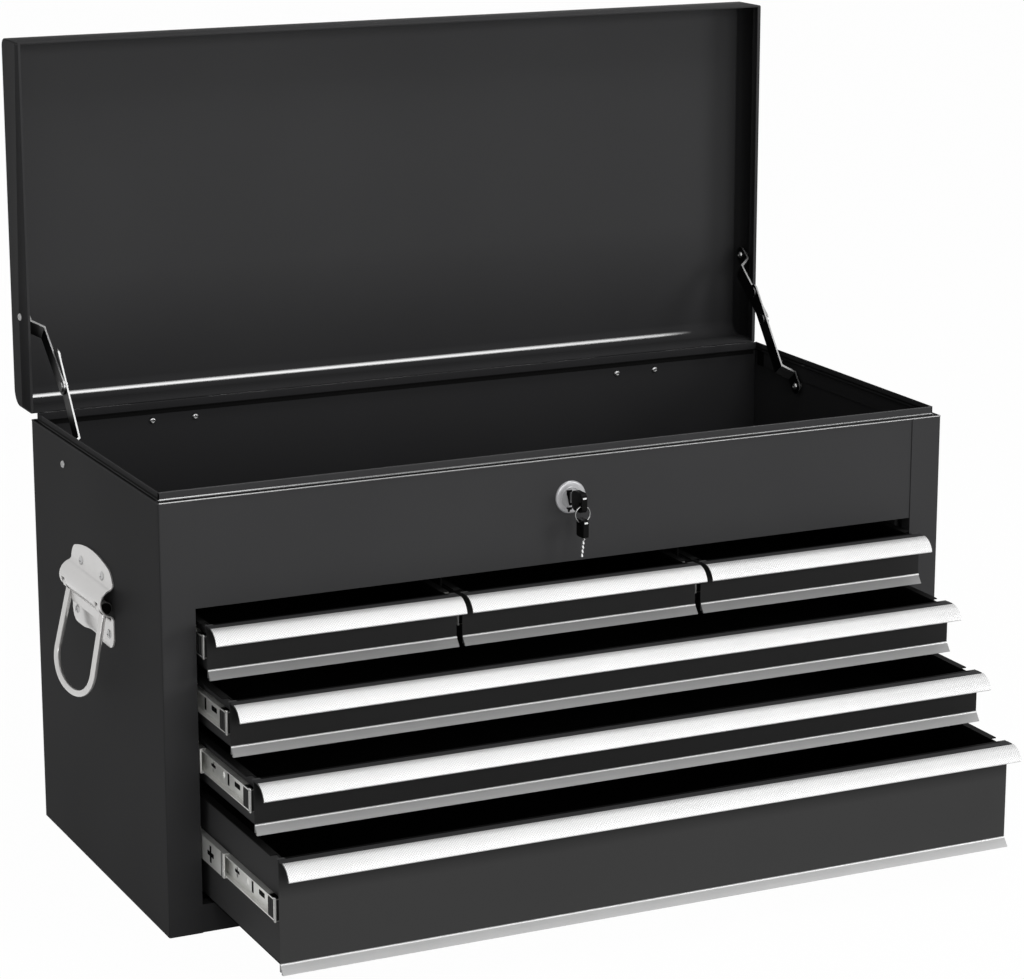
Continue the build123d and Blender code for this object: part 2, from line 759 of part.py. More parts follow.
# Elbow of the open stays: where circles about the two rivets meet on the front side
stay_span = hypot(stay_lid_place[0] - stay_body_place[0], stay_lid_place[1] - stay_body_place[1])
stay_upper_length = stay_span + stay_slack - stay_lower_length
span_y = (stay_lid_place[0] - stay_body_place[0]) / stay_span
span_z = (stay_lid_place[1] - stay_body_place[1]) / stay_span
foot = (stay_lower_length**2 - stay_upper_length**2 + stay_span**2) / (2 * stay_span)
bow = sqrt(stay_lower_length**2 - foot**2)
elbow = (stay_body_place[0] + foot * span_y - bow * span_z, stay_body_place[1] + foot * span_z + bow * span_y)


# One stay arm: a flat bar with a tab at its rivet, joggled in from the wall, and an eye at the elbow
def stay_arm(side, pivot, length, tail, offset_in, head_side):
    direction = atan2(elbow[1] - pivot[1], elbow[0] - pivot[0])
    along_arm = (0, cos(direction), sin(direction))
    # Edge plane: x along the arm, y in from the wall
    normal = Vector(*along_arm).cross(Vector(-side, 0, 0))
    edge_plane = Plane(
        origin=(side * (half_width - tab_inner), pivot[0], pivot[1]), x_dir=along_arm, z_dir=normal
    )
    face_plane = Plane(
        origin=(side * (half_width - tab_inner), pivot[0], pivot[1]), x_dir=along_arm, z_dir=(-side, 0, 0)
    )
    end = length + tail + stay_half_width
    with BuildPart() as arm:
        with BuildSketch(edge_plane):
            with BuildLine():
                Polyline(
                    (-stay_half_width, 0),
                    (stay_joggle_start, 0),
                    (stay_joggle_end, offset_in),
                    (end, offset_in),
                    (end, offset_in + stay_gauge),
                    (stay_joggle_end - stay_gauge, offset_in + stay_gauge),
                    (stay_joggle_start - stay_gauge, stay_gauge),
                    (-stay_half_width, stay_gauge),
                    close=True,
                )
            make_face()
        extrude(amount=stay_half_width, both=True)
        with BuildSketch(face_plane):
            with Locations(((length + tail) / 2, 0)):
                SlotCenterToCenter(length + tail, 2 * stay_half_width)
        extrude(amount=offset_in + stay_gauge + overrun, mode=Mode.INTERSECT)
        with BuildSketch(face_plane.offset(-overrun)):
            Circle(rivet_shank_radius + pin_clearance)
        extrude(amount=stay_gauge + 2 * overrun, mode=Mode.SUBTRACT)
        # This arm's half of the elbow rivet: a head on the side away from the other arm
        head_start = offset_in + stay_gauge if head_side > 0 else offset_in - elbow_head_height
        head_places = [(length, 0)] + ([(length + tail, 0)] if tail else [])
        with BuildSketch(face_plane.offset(head_start)):
            with Locations(*head_places):
                Circle(elbow_head_radius)
        extrude(amount=elbow_head_height)
    return arm.part


for side, side_name in ((-1, "left"), (1, "right")):
    lower_offset = stay_offset + stay_gauge + running_gap
    save(
        stay_arm(side, stay_lid_place, stay_upper_length, 0, stay_offset, -1),
        f"stay_upper_arm_{side_name}",
    )
    save(
        stay_arm(side, stay_body_place, stay_lower_length, stay_tail, lower_offset, 1),
        f"stay_lower_arm_{side_name}",
    )


# Handle frame on a side wall: x along the wall, y up from the hood's centre, z out of the wall
def handle_plane(side):
    return Plane(
        origin=(side * half_width, handle_y, hood_height), x_dir=(0, side, 0), z_dir=(side, 0, 0)
    )


def hood_plane(side):
    # Section through the hood: x out of the wall, y up
    return Plane(
        origin=(side * half_width, handle_y, hood_height), x_dir=(side, 0, 0), z_dir=(0, -side, 0)
    )


screw_spots = [
    (side * place, rise)
    for place, rise in ((screw_upper_place, screw_upper_rise), (screw_lower_place, -screw_lower_fall))
    for side in (-1, 1)
]

# Bracket: upper plate, a hood bulged out of the same sheet, end straps and the lower plate;
# the bail's legs hang through the slots between skirt and straps
with BuildPart() as handle_brackets:
    wrap = radians(hood_wrap)
    curl = (hood_radius * cos(wrap), -hood_radius * sin(wrap))
    inner_radius = hood_radius - bracket_gauge
    inner_curl = (curl[0] - bracket_gauge, -sqrt(inner_radius**2 - (curl[0] - bracket_gauge) ** 2))
    for side in (-1, 1):
        with BuildSketch(handle_plane(side)) as upper_plate:
            with BuildLine():
                sides = Polyline(
                    (-bracket_half_width, bracket_shoulder),
                    (-bracket_half_width, inner_radius),
                    (bracket_half_width, inner_radius),
                    (bracket_half_width, bracket_shoulder),
                )
                ThreePointArc(sides @ 1, (0, bracket_crown), sides @ 0)
            make_face()
            fillet(upper_plate.vertices().group_by(Axis.Y)[-1], bracket_corner)
            with Locations(*screw_spots):
                Circle(screw_shank_radius + rivet_hole_clearance, mode=Mode.SUBTRACT)
        extrude(amount=bracket_gauge)
        with BuildSketch(handle_plane(side)) as lower_plate:
            with BuildLine():
                sides = Polyline(
                    (-bracket_arch_half, -bracket_fall),
                    (-bracket_half_width, -bracket_fall),
                    (-bracket_half_width, -inner_radius),
                    (bracket_half_width, -inner_radius),
                    (bracket_half_width, -bracket_fall),
                    (bracket_arch_half, -bracket_fall),
                )
                ThreePointArc(sides @ 1, (0, bracket_arch - bracket_fall), sides @ 0)
            make_face()
            feet = lower_plate.vertices().group_by(Axis.Y)[0].sort_by(Axis.X)
            fillet([feet[0], feet[-1]], bracket_corner)
            with Locations(*screw_spots):
                Circle(screw_shank_radius + rivet_hole_clearance, mode=Mode.SUBTRACT)
        extrude(amount=bracket_gauge)
        # Crown of the hood, over the whole width
        with BuildSketch(hood_plane(side)):
            Circle(hood_radius)
            Circle(inner_radius, mode=Mode.SUBTRACT)
            Rectangle(hood_radius, hood_radius, align=(Align.MIN, Align.MIN), mode=Mode.INTERSECT)
        extrude(amount=bracket_half_width, both=True)
        # Straps at both ends, round to the lower plate
        for end in (-1, 1):
            with BuildSketch(hood_plane(side).offset(end * (bracket_half_width - strap_width / 2))):
                Circle(hood_radius)
                Circle(inner_radius, mode=Mode.SUBTRACT)
                Rectangle(hood_radius, 2 * hood_radius, align=(Align.MIN, Align.CENTER), mode=Mode.INTERSECT)
            extrude(amount=strap_width / 2, both=True)
        # Middle of the hood with its skirt
        with BuildSketch(hood_plane(side)):
            with BuildLine():
                outer = ThreePointArc((0, hood_radius), (hood_radius, 0), curl)
                skirt = Line(curl, (curl[0], curl[1] - hood_skirt))
                Polyline(skirt @ 1, (inner_curl[0], (skirt @ 1).Y), inner_curl)
                ThreePointArc(inner_curl, (inner_radius, 0), (0, inner_radius))
                Line((0, inner_radius), (0, hood_radius))
            make_face()
        extrude(amount=skirt_half_length, both=True)
save(handle_brackets.part, "handle_brackets")


# Round-headed screw through the bracket and the wall
with BuildPart() as handle_screws:
    for side in (-1, 1):
        for spot in screw_spots:
            with BuildSketch(handle_plane(side).offset(bracket_gauge)):
                with Locations(spot):
                    Circle(screw_head_radius)
            extrude(amount=screw_head_height)
            with BuildSketch(handle_plane(side).offset(-screw_tail)):
                with Locations(spot):
                    Circle(screw_shank_radius)
            extrude(amount=screw_tail + bracket_gauge)
    tops = handle_screws.faces().filter_by(Axis.X)
    for side in (-1, 1):
        outermost = tops.group_by(Axis.X)[0 if side < 0 else -1]
        chamfer(outermost.edges(), screw_head_height * dome_share)
save(handle_screws.part, "handle_screws")


# Wire bail: a closed loop in a plane tilted off the wall about the bail's own bar
def bail(side):
    tilt = radians(bail_tilt)
    axis_point = (side * (half_width + bail_out), handle_y, hood_height - bail_below)
    loop_plane = Plane(
        origin=axis_point,
        x_dir=(0, side, 0),
        z_dir=(side * cos(tilt), 0, sin(tilt)),
    )
    with BuildPart() as wire:
        with BuildLine(loop_plane) as loop:
            Line((-bail_half_width + bail_top_corner, 0), (bail_half_width - bail_top_corner, 0))
            start = (bail_half_width - bail_top_corner, 0)
            finish = (-bail_half_width + bail_top_corner, 0)
            bottom_half = bail_half_width + bail_spread
            FilletPolyline(
                start,
                (bail_half_width, 0),
                (bottom_half, -bail_length),
                (-bottom_half, -bail_length),
                (-bail_half_width, 0),
                finish,
                radius=[
                    bail_top_corner * corner_share,
                    bail_corner,
                    bail_corner,
                    bail_top_corner * corner_share,
                ],
            )
        section_plane = Plane(origin=axis_point, x_dir=(0, 0, 1), z_dir=(0, side, 0))
        with BuildSketch(section_plane):
            Circle(bail_radius)
        sweep(path=loop.wire())
    return wire.part


for side, side_name in ((-1, "left"), (1, "right")):
    save(bail(side), f"handle_bail_{side_name}")

# Lock, on an axis that points into the chest; its z runs from the fascia's face to the back
lock_plane = Plane(origin=(0, front + sheet, lock_z), x_dir=(1, 0, 0), z_dir=(0, 1, 0))

with BuildPart() as lock_housing:
    with BuildSketch(lock_plane.offset(-lock_face_height)):
        Circle(lock_face_radius)
    extrude(amount=lock_face_height)
    chamfer(lock_housing.edges().sort_by(Axis.Y)[0], lock_face_height * dome_share)
    with BuildSketch(lock_plane):
        Circle(lock_barrel_radius)
    extrude(amount=lock_barrel_length)
    with BuildSketch(lock_plane.offset(-lock_face_height - overrun)):
        Circle(plug_radius + pin_clearance)
    extrude(amount=lock_face_height + lock_barrel_length + 2 * overrun, mode=Mode.SUBTRACT)
save(lock_housing.part, "lock_housing")

with BuildPart() as lock_nut:
    with BuildSketch(lock_plane.offset(sheet)):
        RegularPolygon(lock_nut_radius, lock_nut_sides)
        Circle(lock_barrel_radius + rivet_hole_clearance, mode=Mode.SUBTRACT)
    extrude(amount=lock_nut_height)
save(lock_nut.part, "lock_nut")

with BuildPart() as lock_plug:
    plug_start = plug_recess - lock_face_height
    with BuildSketch(lock_plane.offset(plug_start)):
        Circle(plug_radius)
    extrude(amount=lock_barrel_length - plug_start)
    # Keyway along the axis
    with BuildSketch(lock_plane.offset(plug_start)):
        Rectangle(key_gauge + 2 * key_slot_clearance, key_blade_height + 2 * key_slot_clearance)
    extrude(amount=key_blade_length + key_slot_clearance, mode=Mode.SUBTRACT)
save(lock_plug.part, "lock_plug")

with BuildPart() as lock_cam:
    with BuildSketch(lock_plane.offset(lock_barrel_length)):
        with Locations((cam_length / 2, 0)):
            SlotCenterToCenter(cam_length, 2 * cam_half_width)
    extrude(amount=cam_gauge)
save(lock_cam.part, "lock_cam")

# Key in the plug, in the upright plane through the lock axis: x to the front, y up
key_plane = Plane(origin=(0, front + sheet + plug_start, lock_z), x_dir=(0, -1, 0), z_dir=(-1, 0, 0))

with BuildPart() as key_blade:
    with BuildSketch(key_plane):
        with Locations((key_head_standoff, 0)):
            Rectangle(
                key_blade_length + key_head_standoff,
                key_blade_height,
                align=(Align.MAX, Align.CENTER),
            )
        tooth_pitch = key_blade_length / (key_teeth + 1)
        with Locations(*[(-tooth_pitch * (index + 1), key_blade_height / 2) for index in range(key_teeth)]):
            Rectangle(key_tooth, 2 * key_tooth, rotation=tooth_angle, mode=Mode.SUBTRACT)
    extrude(amount=key_gauge / 2, both=True)
save(key_blade.part, "key_blade")

with BuildPart() as key_head:
    hole_place_in_head = (key_head_standoff + key_head_length - key_hole_inset, -key_hole_drop)
    with BuildSketch(key_plane) as key_head_outline:
        with Locations((key_head_standoff, 0)):
            Rectangle(key_head_length, key_head_height, align=(Align.MIN, Align.CENTER))
        fillet(key_head_outline.vertices(), key_head_corner)
        with Locations(hole_place_in_head):
            Circle(key_hole_radius, mode=Mode.SUBTRACT)
    extrude(amount=key_head_gauge / 2, both=True)
save(key_head.part, "key_head")

# Ring through the key's hole, hanging in a plane that faces the front
ring_y = front + sheet + plug_start - hole_place_in_head[0]
ring_sag = ring_radius - sqrt(ring_radius**2 - (key_head_gauge / 2) ** 2)
key_hang = key_hole_radius - ring_wire_radius - running_gap - ring_sag
ring_top = lock_z - key_hole_drop - key_hang
ring_z = ring_top - ring_radius
with BuildPart() as key_ring:
    with BuildSketch(Plane(origin=(0, ring_y, ring_z), x_dir=(1, 0, 0), z_dir=(0, 0, 1))):
        with Locations((ring_radius, 0)):
            Circle(ring_wire_radius)
    revolve(axis=Axis((0, ring_y, ring_z), (0, 1, 0)))
save(key_ring.part, "key_ring")

# Spare key hanging from the ring, in the upright plane across the ring
spare_hole_z = ring_z - ring_radius - key_hang
spare_plane = Plane(origin=(0, ring_y, spare_hole_z), x_dir=(0, -1, 0), z_dir=(-1, 0, 0))
with BuildPart() as spare_key_head:
    with BuildSketch(spare_plane) as spare_outline:
        with Locations((0, spare_hole_inset)):
            Rectangle(spare_head_width, spare_head_height, align=(Align.CENTER, Align.MAX))
        fillet(spare_outline.vertices(), spare_head_corner)
        Circle(key_hole_radius, mode=Mode.SUBTRACT)
    extrude(amount=key_head_gauge / 2, both=True)
save(spare_key_head.part, "spare_key_head")

with BuildPart() as spare_key_blade:
    blade_top = spare_hole_inset - spare_head_height
    with BuildSketch(spare_plane):
        with Locations((0, blade_top)):
            Rectangle(spare_blade_width, spare_blade_length, align=(Align.CENTER, Align.MAX))
        spare_pitch = (spare_blade_length - spare_tooth_place) / key_teeth
        tooth_spots = [
            (-spare_blade_width / 2, blade_top - spare_tooth_place - spare_pitch * index)
            for index in range(key_teeth)
        ]
        with Locations(*tooth_spots):
            Rectangle(2 * key_tooth, key_tooth, rotation=tooth_angle, mode=Mode.SUBTRACT)
    extrude(amount=key_gauge / 2, both=True)
save(spare_key_blade.part, "spare_key_blade")
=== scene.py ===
import json
import math

import bpy
import numpy as np
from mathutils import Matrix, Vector


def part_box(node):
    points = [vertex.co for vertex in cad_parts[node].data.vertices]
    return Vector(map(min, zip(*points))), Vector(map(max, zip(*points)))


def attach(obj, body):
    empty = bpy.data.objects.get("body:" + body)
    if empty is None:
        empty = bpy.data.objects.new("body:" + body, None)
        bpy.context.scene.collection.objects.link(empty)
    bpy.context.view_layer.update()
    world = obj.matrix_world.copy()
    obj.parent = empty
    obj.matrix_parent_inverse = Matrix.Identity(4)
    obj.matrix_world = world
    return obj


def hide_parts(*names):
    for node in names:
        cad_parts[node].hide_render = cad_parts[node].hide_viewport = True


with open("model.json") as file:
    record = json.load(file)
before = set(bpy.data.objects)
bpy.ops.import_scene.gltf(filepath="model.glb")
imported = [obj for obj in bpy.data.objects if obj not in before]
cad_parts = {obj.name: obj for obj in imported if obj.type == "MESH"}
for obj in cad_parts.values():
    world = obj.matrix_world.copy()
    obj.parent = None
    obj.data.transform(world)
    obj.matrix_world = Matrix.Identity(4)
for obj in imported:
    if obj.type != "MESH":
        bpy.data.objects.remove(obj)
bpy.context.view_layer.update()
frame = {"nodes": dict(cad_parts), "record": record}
nodes = frame["nodes"]
print("frame loaded:", len(nodes), "nodes")

mm = 0.001
joined = np.concatenate
xAxis, yAxis, zAxis = np.eye(3)
sides = ((-1, "left"), (1, "right"))
drawers = ["top_left_drawer", "top_centre_drawer", "top_right_drawer",
           "second_drawer", "third_drawer", "bottom_drawer"]


def boxMm(node):
    # the two corners of a node's box, in millimetres
    low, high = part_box(node)
    return np.array(low) / mm, np.array(high) / mm


# shader helpers
def addNode(tree, kind, inputs=(), **values):
    # node with its settings, and with its inputs set to values or linked to sockets
    node = tree.nodes.new(kind)
    for key, value in values.items():
        setattr(node, key, value)
    for label, value in dict(inputs).items():
        if isinstance(value, bpy.types.NodeSocket):
            tree.links.new(value, node.inputs[label])
        else:
            node.inputs[label].default_value = value
    return node


def freshTree(owner):
    # emptied node tree of a material or world
    owner.use_nodes = True
    owner.node_tree.nodes.clear()
    return owner.node_tree


def mathNode(tree, operation, first, second=0.0):
    return addNode(tree, "ShaderNodeMath", {0: first, 1: second}, operation=operation).outputs[0]


def chained(tree, operation, values):
    # one operation over all the values or sockets
    total = values[0]
    for value in values[1:]:
        total = mathNode(tree, operation, total, value)
    return total


def times(tree, *values):
    return chained(tree, "MULTIPLY", values)


def ramped(tree, value, low, high, start=0.0, end=1.0):
    # start at low, end at high, held outside
    inputs = {"Value": value, "From Min": low, "From Max": high, "To Min": start, "To Max": end}
    return addNode(tree, "ShaderNodeMapRange", inputs).outputs["Result"]


def axes(tree, kind):
    # the three parts of the place or normal in the piece's own frame
    place = addNode(tree, "ShaderNodeTexCoord").outputs[kind]
    return addNode(tree, "ShaderNodeSeparateXYZ", {"Vector": place}).outputs


def stretchedNoise(tree, scale, detail, stretch=(1, 1, 1)):
    # noise on stretched coordinates: long in the axis with the small factor
    place = addNode(tree, "ShaderNodeTexCoord").outputs["Object"]
    mapping = addNode(tree, "ShaderNodeMapping", {"Vector": place, "Scale": stretch})
    inputs = {"Vector": mapping.outputs["Vector"], "Scale": scale, "Detail": detail}
    return addNode(tree, "ShaderNodeTexNoise", inputs).outputs["Fac"]


def newGroup(name, inputs):
    # node group that puts out a tone and a height
    tree = bpy.data.node_groups.new(name, "ShaderNodeTree")
    for way, labels in (("INPUT", inputs), ("OUTPUT", ("Tone", "Height"))):
        for label in labels:
            socket = tree.interface.new_socket(label, in_out=way, socket_type="NodeSocketFloat")
            socket.default_value = 1.0
    return tree, addNode(tree, "NodeGroupInput").outputs


def grainGroup(name, fine, slow, share):
    # fine noise gives the height and its share of the tone, slow clouds the rest of the tone
    tree, source = newGroup(name, ["Depth"])
    grain, clouds = stretchedNoise(tree, **fine), stretchedNoise(tree, **slow)
    tone = mathNode(tree, "ADD", times(tree, grain, share), times(tree, clouds, 1 - share))
    addNode(tree, "NodeGroupOutput", {"Tone": tone, "Height": times(tree, grain, source["Depth"])})
    return tree


def knurlGroup(s):
    # embossed mesh: sin(u) * sin(v) on the strip's own map, in turns per pitch
    tree, source = newGroup("meshEmboss", ["Turns", "Depth"])
    place = addNode(tree, "ShaderNodeUVMap").outputs["UV"]
    split = addNode(tree, "ShaderNodeSeparateXYZ", {"Vector": place}).outputs
    cells = times(tree, *[mathNode(tree, "SINE", times(tree, split[k], source["Turns"])) for k in "XY"])
    clouds = stretchedNoise(tree, **s["noise"])
    tone = chained(tree, "ADD", [times(tree, cells, s["cells"]), times(tree, clouds, s["clouds"]), s["base"]])
    addNode(tree, "NodeGroupOutput", {"Tone": tone, "Height": times(tree, cells, source["Depth"])})
    return tree


# orange peel of the powder coat, brushing drawn out along X, spangle and stains of the plating
grains = {
    "paint": dict(fine=dict(scale=620, detail=2), slow=dict(scale=7, detail=3), share=0.0),
    "brushed": dict(fine=dict(scale=60, detail=3, stretch=(0.25, 40, 40)),
                    slow=dict(scale=45, detail=3), share=0.6),
    "plated": dict(fine=dict(scale=160, detail=2), slow=dict(scale=30, detail=4), share=0.4),
}
knurl = dict(pitch=1.9, cells=0.6, clouds=0.3, base=0.35, noise=dict(scale=25, detail=2))
skins = {name: grainGroup(name + "Skin", **s) for name, s in grains.items()}
skins["knurl"] = knurlGroup(knurl)


def tones(dark, light, blue=0.0):
    # the two greys that a skin's tone runs between
    return dict(dark=(dark, dark, dark + blue, 1), light=(light, light, light + blue, 1))


def coating(skin, dark, light, rough, blue=0.0, metal=0.0, bump=0.03, reach=0.0002,
            specular=0.5, **more):
    return dict(tones(dark, light, blue), skin=skin, rough=rough, metal=metal, bump=bump,
                reach=reach, specular=specular, **more)


paint = coating("paint", 0.036, 0.044, (0.44, 0.50), blue=0.001, bump=0.05, specular=0.01)
# painted shade: near black where there is only shade, and a grey darker than the paint for deep shade
shade = tones(0.003, 0.005)
deepShade = tones(0.023, 0.028, 0.001)
aslant = dict(low=0.5, high=0.9)  # part of the normal along the axis where a turned face changes
allOver = dict(X=(-1, 1))
# rim band: painted shade on the ledge towards the outside, on the rear band and its leg and on a strip at
# each side's root; a painted highlight line at the root at the front, and soft painted highlight lines at the
# sides
rimShadeZones = [
    dict(shade, Y=(-0.1360, -0.1311), Z=(0.3010, 0.3024)),
    dict(tones(0.019, 0.024, 0.001), Y=(0.12, 0.2), Z=(0.3021, 0.32)),
    dict(tones(0.006, 0.008), Y=(0.12, 0.2), Z=(0.28, 0.3021)),
    dict(shade, X=(0.2976, 0.3000), Y=(-0.1280, 0.2), Z=(0.3010, 0.3022)),
    dict(tones(0.010, 0.013), X=(0.2960, 0.2976), Y=(-0.1280, 0.2), Z=(0.3029, 0.3040)),
]
# painted highlights: glossy coat lines at the front root, at the side roots and along the top of the band
rimPaintedHighlights = dict(rough=0.14, ior=3.6, areas=[
    dict(weight=0.50, X=(-1, 0.2976), Y=(-0.1311, -0.1284), Z=(0.3010, 0.3027)),
    dict(weight=0.10, X=(0.2960, 0.2977), Y=(-0.1280, 0.2), Z=(0.3020, 0.3029)),
    dict(weight=0.04, Y=(-0.2, 0.12), Z=(0.3070, 0.32)),
    dict(weight=0.01, Y=(0.12, 0.2), Z=(0.3070, 0.32)),
])
# painted highlight: a narrow glossy coat line inside the lid's rear bend
lidHighlightStripe = dict(height=0.3103, core=0.0001, edge=0.0017, low=0.165, start=(-0.2985, -0.2975),
        end=(0.235, 0.262), bend=(0.1639, 0.31766), within=0.0116, rough=0.16, ior=2.4)
nickel = dict(coating("plated", 0, 0, (0.14, 0.22), metal=0.55, bump=0.04),
        dark=(0.66, 0.65, 0.64, 1), light=(0.78, 0.77, 0.76, 1))
finishes = {
    "charcoalPaint": paint,
    # painted shade on the inside of the till's back wall
    "bodyPaint": dict(paint, zones=[dict(deepShade, Y=(0.1342, 0.1356), Z=(0.2, 0.3030))]),
    # the lid's paint is a little lighter than the body's (painted light), with painted shade growing towards
    # its lower part
    "lidPaint": dict(paint, **tones(0.038, 0.0465, 0.001), stripe=lidHighlightStripe,
        zones=[dict(deepShade, Z=(0.2, 0.318), soft=0.08)]),
    "rimPaint": dict(paint, zones=rimShadeZones, paintedHighlight=rimPaintedHighlights),
    # painted highlight lines on the cabinet's top folds, made as a glossy coat
    "foldPaint": dict(paint, paintedHighlight=dict(rough=0.14, ior=3.6, areas=[dict(allOver, weight=0.55)])),
    "softFoldHighlight": dict(paint, paintedHighlight=dict(rough=0.2, ior=2.0, areas=[dict(allOver, weight=0.05)])),
    # painted shade on the pull's end faces
    "pullAluminium": coating("knurl", 0.47, 0.74, (0.34, 0.42), metal=0.35, bump=0.35, reach=0.0003,
        specular=0.3, skinInputs={"Turns": 2 * math.pi / knurl["pitch"]},
        turned=dict(aslant, axis="X", **tones(0.03, 0.06))),
    "trimSatin": coating("brushed", 0.23, 0.29, (0.40, 0.48), metal=0.15, bump=0.06, specular=0.15),
    # the trim's top bead, painted lighter than its face as a painted highlight
    "trimEdge": coating("brushed", 0.58, 0.70, (0.30, 0.38), metal=0.4, specular=0.4),
    "slideZinc": dict(coating("plated", 0, 0, (0.28, 0.42), metal=0.5, bump=0.05, specular=0.4),
        dark=(0.70, 0.70, 0.68, 1), light=(0.98, 0.98, 0.95, 1)),
    "tabBright": coating("plated", 0.78, 0.95, (0.20, 0.30), blue=-0.02, metal=0.3, reach=0.0001),
    "handleNickel": nickel,
    # painted shade on the eyes' end faces
    "eyeNickel": dict(nickel, turned=dict(aslant, axis="Y", **shade)),
    "screwSteel": coating("plated", 0.34, 0.56, (0.16, 0.24), metal=1.0),
    "lockChrome": coating("plated", 0.33, 0.44, (0.26, 0.34), blue=0.01, metal=0.25, bump=0.02, reach=0.0001),
    "ringSteel": coating("plated", 0.16, 0.26, (0.14, 0.22), metal=1.0, bump=0.02, reach=0.0001),
    "stayDark": coating("plated", 0.20, 0.34, (0.30, 0.42), metal=1.0, bump=0.05,
        turned=dict(aslant, axis="X", **tones(0.004, 0.010))),
    "rivetBright": coating("plated", 0.26, 0.40, (0.24, 0.36), metal=1.0, reach=0.0001),
    "keyPlastic": coating("paint", 0.004, 0.006, (0.24, 0.32), reach=0.0001, specular=0.03),
    "keySteel": coating("plated", 0.62, 0.90, (0.18, 0.28), metal=0.7, reach=0.0001),
    "bumperPlastic": coating("paint", 0.030, 0.045, (0.45, 0.60), bump=0.05, specular=0.05),
    "slotShade": dict(coating("paint", 0, 0, (0.6, 0.7), bump=0.02, reach=0.0001, specular=0.02), **shade),
}
# the drawers' outer sides are painted lighter than the body (painted light); inside the trays and on their
# top flanges they are painted in shade; the fronts of the upper rows are painted darker as the shadow of
# their pulls, the bottom front has a painted shadow under its pull, and the trims are painted lighter the
# further out they stand (painted light)
rows = {"top": dict(front=0.0225, trim=0.92), "second": dict(front=0.0208, trim=1.12),
        "third": dict(front=0.0192, trim=1.22), "bottom": dict(front=0.0430, trim=1.55)}
drawerFront = dict(depth=0.0004, darker=0.95, lighter=1.05)
# painted shadow on the bottom front under its pull, and painted shade on the trays' top flanges
pullShade = dict(tones(0.029, 0.032), depth=0.019, soft=0.008)
flangeShade = dict(tones(0.008, 0.011), top=0.0014, bottom=0.0025)
# painted light: the trays' outer sides lighter than the body paint
trayOutsideLight = dict(tones(0.062, 0.075, 0.001), inset=0.0042, fade=(0.00064, 0.00032))
for drawer in drawers:
    row = rows[drawer.split("_")[0]]
    plainTrim = finishes["trimSatin"]
    # painted light: each row's trims lighter the further out they stand
    trimTones = tones(*[plainTrim[key][0] * row["trim"] for key in ("dark", "light")])
    finishes[drawer + "Trim"] = dict(plainTrim, **trimTones)
    ahead = (-1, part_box(drawer + "_tray")[0].y + drawerFront["depth"])
    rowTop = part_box(drawer + "_pull")[1].z
    # painted shade: the upper fronts darker, as under their pulls
    frontTones = tones(row["front"] * drawerFront["darker"], row["front"] * drawerFront["lighter"])
    zones = [dict(flangeShade, Z=(rowTop - flangeShade["bottom"], rowTop - flangeShade["top"])),
             dict(frontTones, Y=ahead)]
    if drawer == "bottom_drawer":
        zones.append(dict(pullShade, Y=ahead, Z=(rowTop - pullShade["depth"], 1)))
    low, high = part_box(drawer + "_inner_slides")
    outside = dict(trayOutsideLight, centre=(low.x + high.x) / 2,
            half=(high.x - low.x) / 2 - trayOutsideLight["inset"])
    finishes[drawer + "Paint"] = dict(paint, **shade, shell=outside, zones=zones)


def colourBlend(tree, factor, first, second):
    # mix of two colours or colour sockets, on the colour sockets of the mix node
    factorSocket, firstSocket, secondSocket, result = 0, 6, 7, 2
    inputs = {factorSocket: factor, firstSocket: first, secondSocket: second}
    return addNode(tree, "ShaderNodeMix", inputs, data_type="RGBA").outputs[result]


def facing(tree, s):
    # 0 to 1 as the surface turns towards or away from an axis
    part = axes(tree, "Normal")[s["axis"]]
    return ramped(tree, mathNode(tree, "ABSOLUTE", part), s["low"], s["high"])


def shellMask(tree, s):
    # 1 on the tray's outer sides, 0 inside it
    aside = mathNode(tree, "SUBTRACT", axes(tree, "Object")["X"], s["centre"])
    low, high = (s["half"] - k for k in s["fade"])
    return ramped(tree, mathNode(tree, "ABSOLUTE", aside), low, high)


def boxMask(tree, s, crisp=0.0001):
    # 1 inside the given ranges of |X|, Y and Z, or of X where its range starts below zero
    place = axes(tree, "Object")
    steps = []
    for axis in "XYZ":
        if axis in s:
            low, high = s[axis]
            part = place[axis]
            soft = s.get("soft", crisp) if axis == "Z" else crisp
            if axis == "X" and low > 0:
                part = mathNode(tree, "ABSOLUTE", part)
            steps += [ramped(tree, part, low - soft, low), ramped(tree, part, high + soft, high)]
    return times(tree, *steps)


def paintedHighlightMask(tree, s):
    # the largest weight of the areas that a place lies in: the coat of a painted highlight
    return chained(tree, "MAXIMUM", [times(tree, boxMask(tree, k), k["weight"]) for k in s["areas"]])


def highlightStripeMask(tree, s):
    # painted highlight, made as a narrow glossy coat:
    # line inside the rear bend of the lid, where the photograph has a reflection: narrow in Z, faded out
    # at the right, and only where the bend's centre is nearer than the middle of the sheet
    place = axes(tree, "Object")
    away = [mathNode(tree, "SUBTRACT", place[axis], k) for axis, k in zip("YZ", s["bend"])]
    square = chained(tree, "ADD", [times(tree, k, k) for k in away])
    inside = mathNode(tree, "LESS_THAN", square, s["within"] ** 2)
    off = mathNode(tree, "ABSOLUTE", mathNode(tree, "SUBTRACT", place["Z"], s["height"]))
    line = times(tree, ramped(tree, off, s["edge"], s["core"]),
            ramped(tree, place["Y"], s["low"], s["low"] + s["core"]))
    span = times(tree, ramped(tree, place["X"], *s["start"]),
            ramped(tree, place["X"], *s["end"][::-1]))
    return times(tree, line, span, inside)


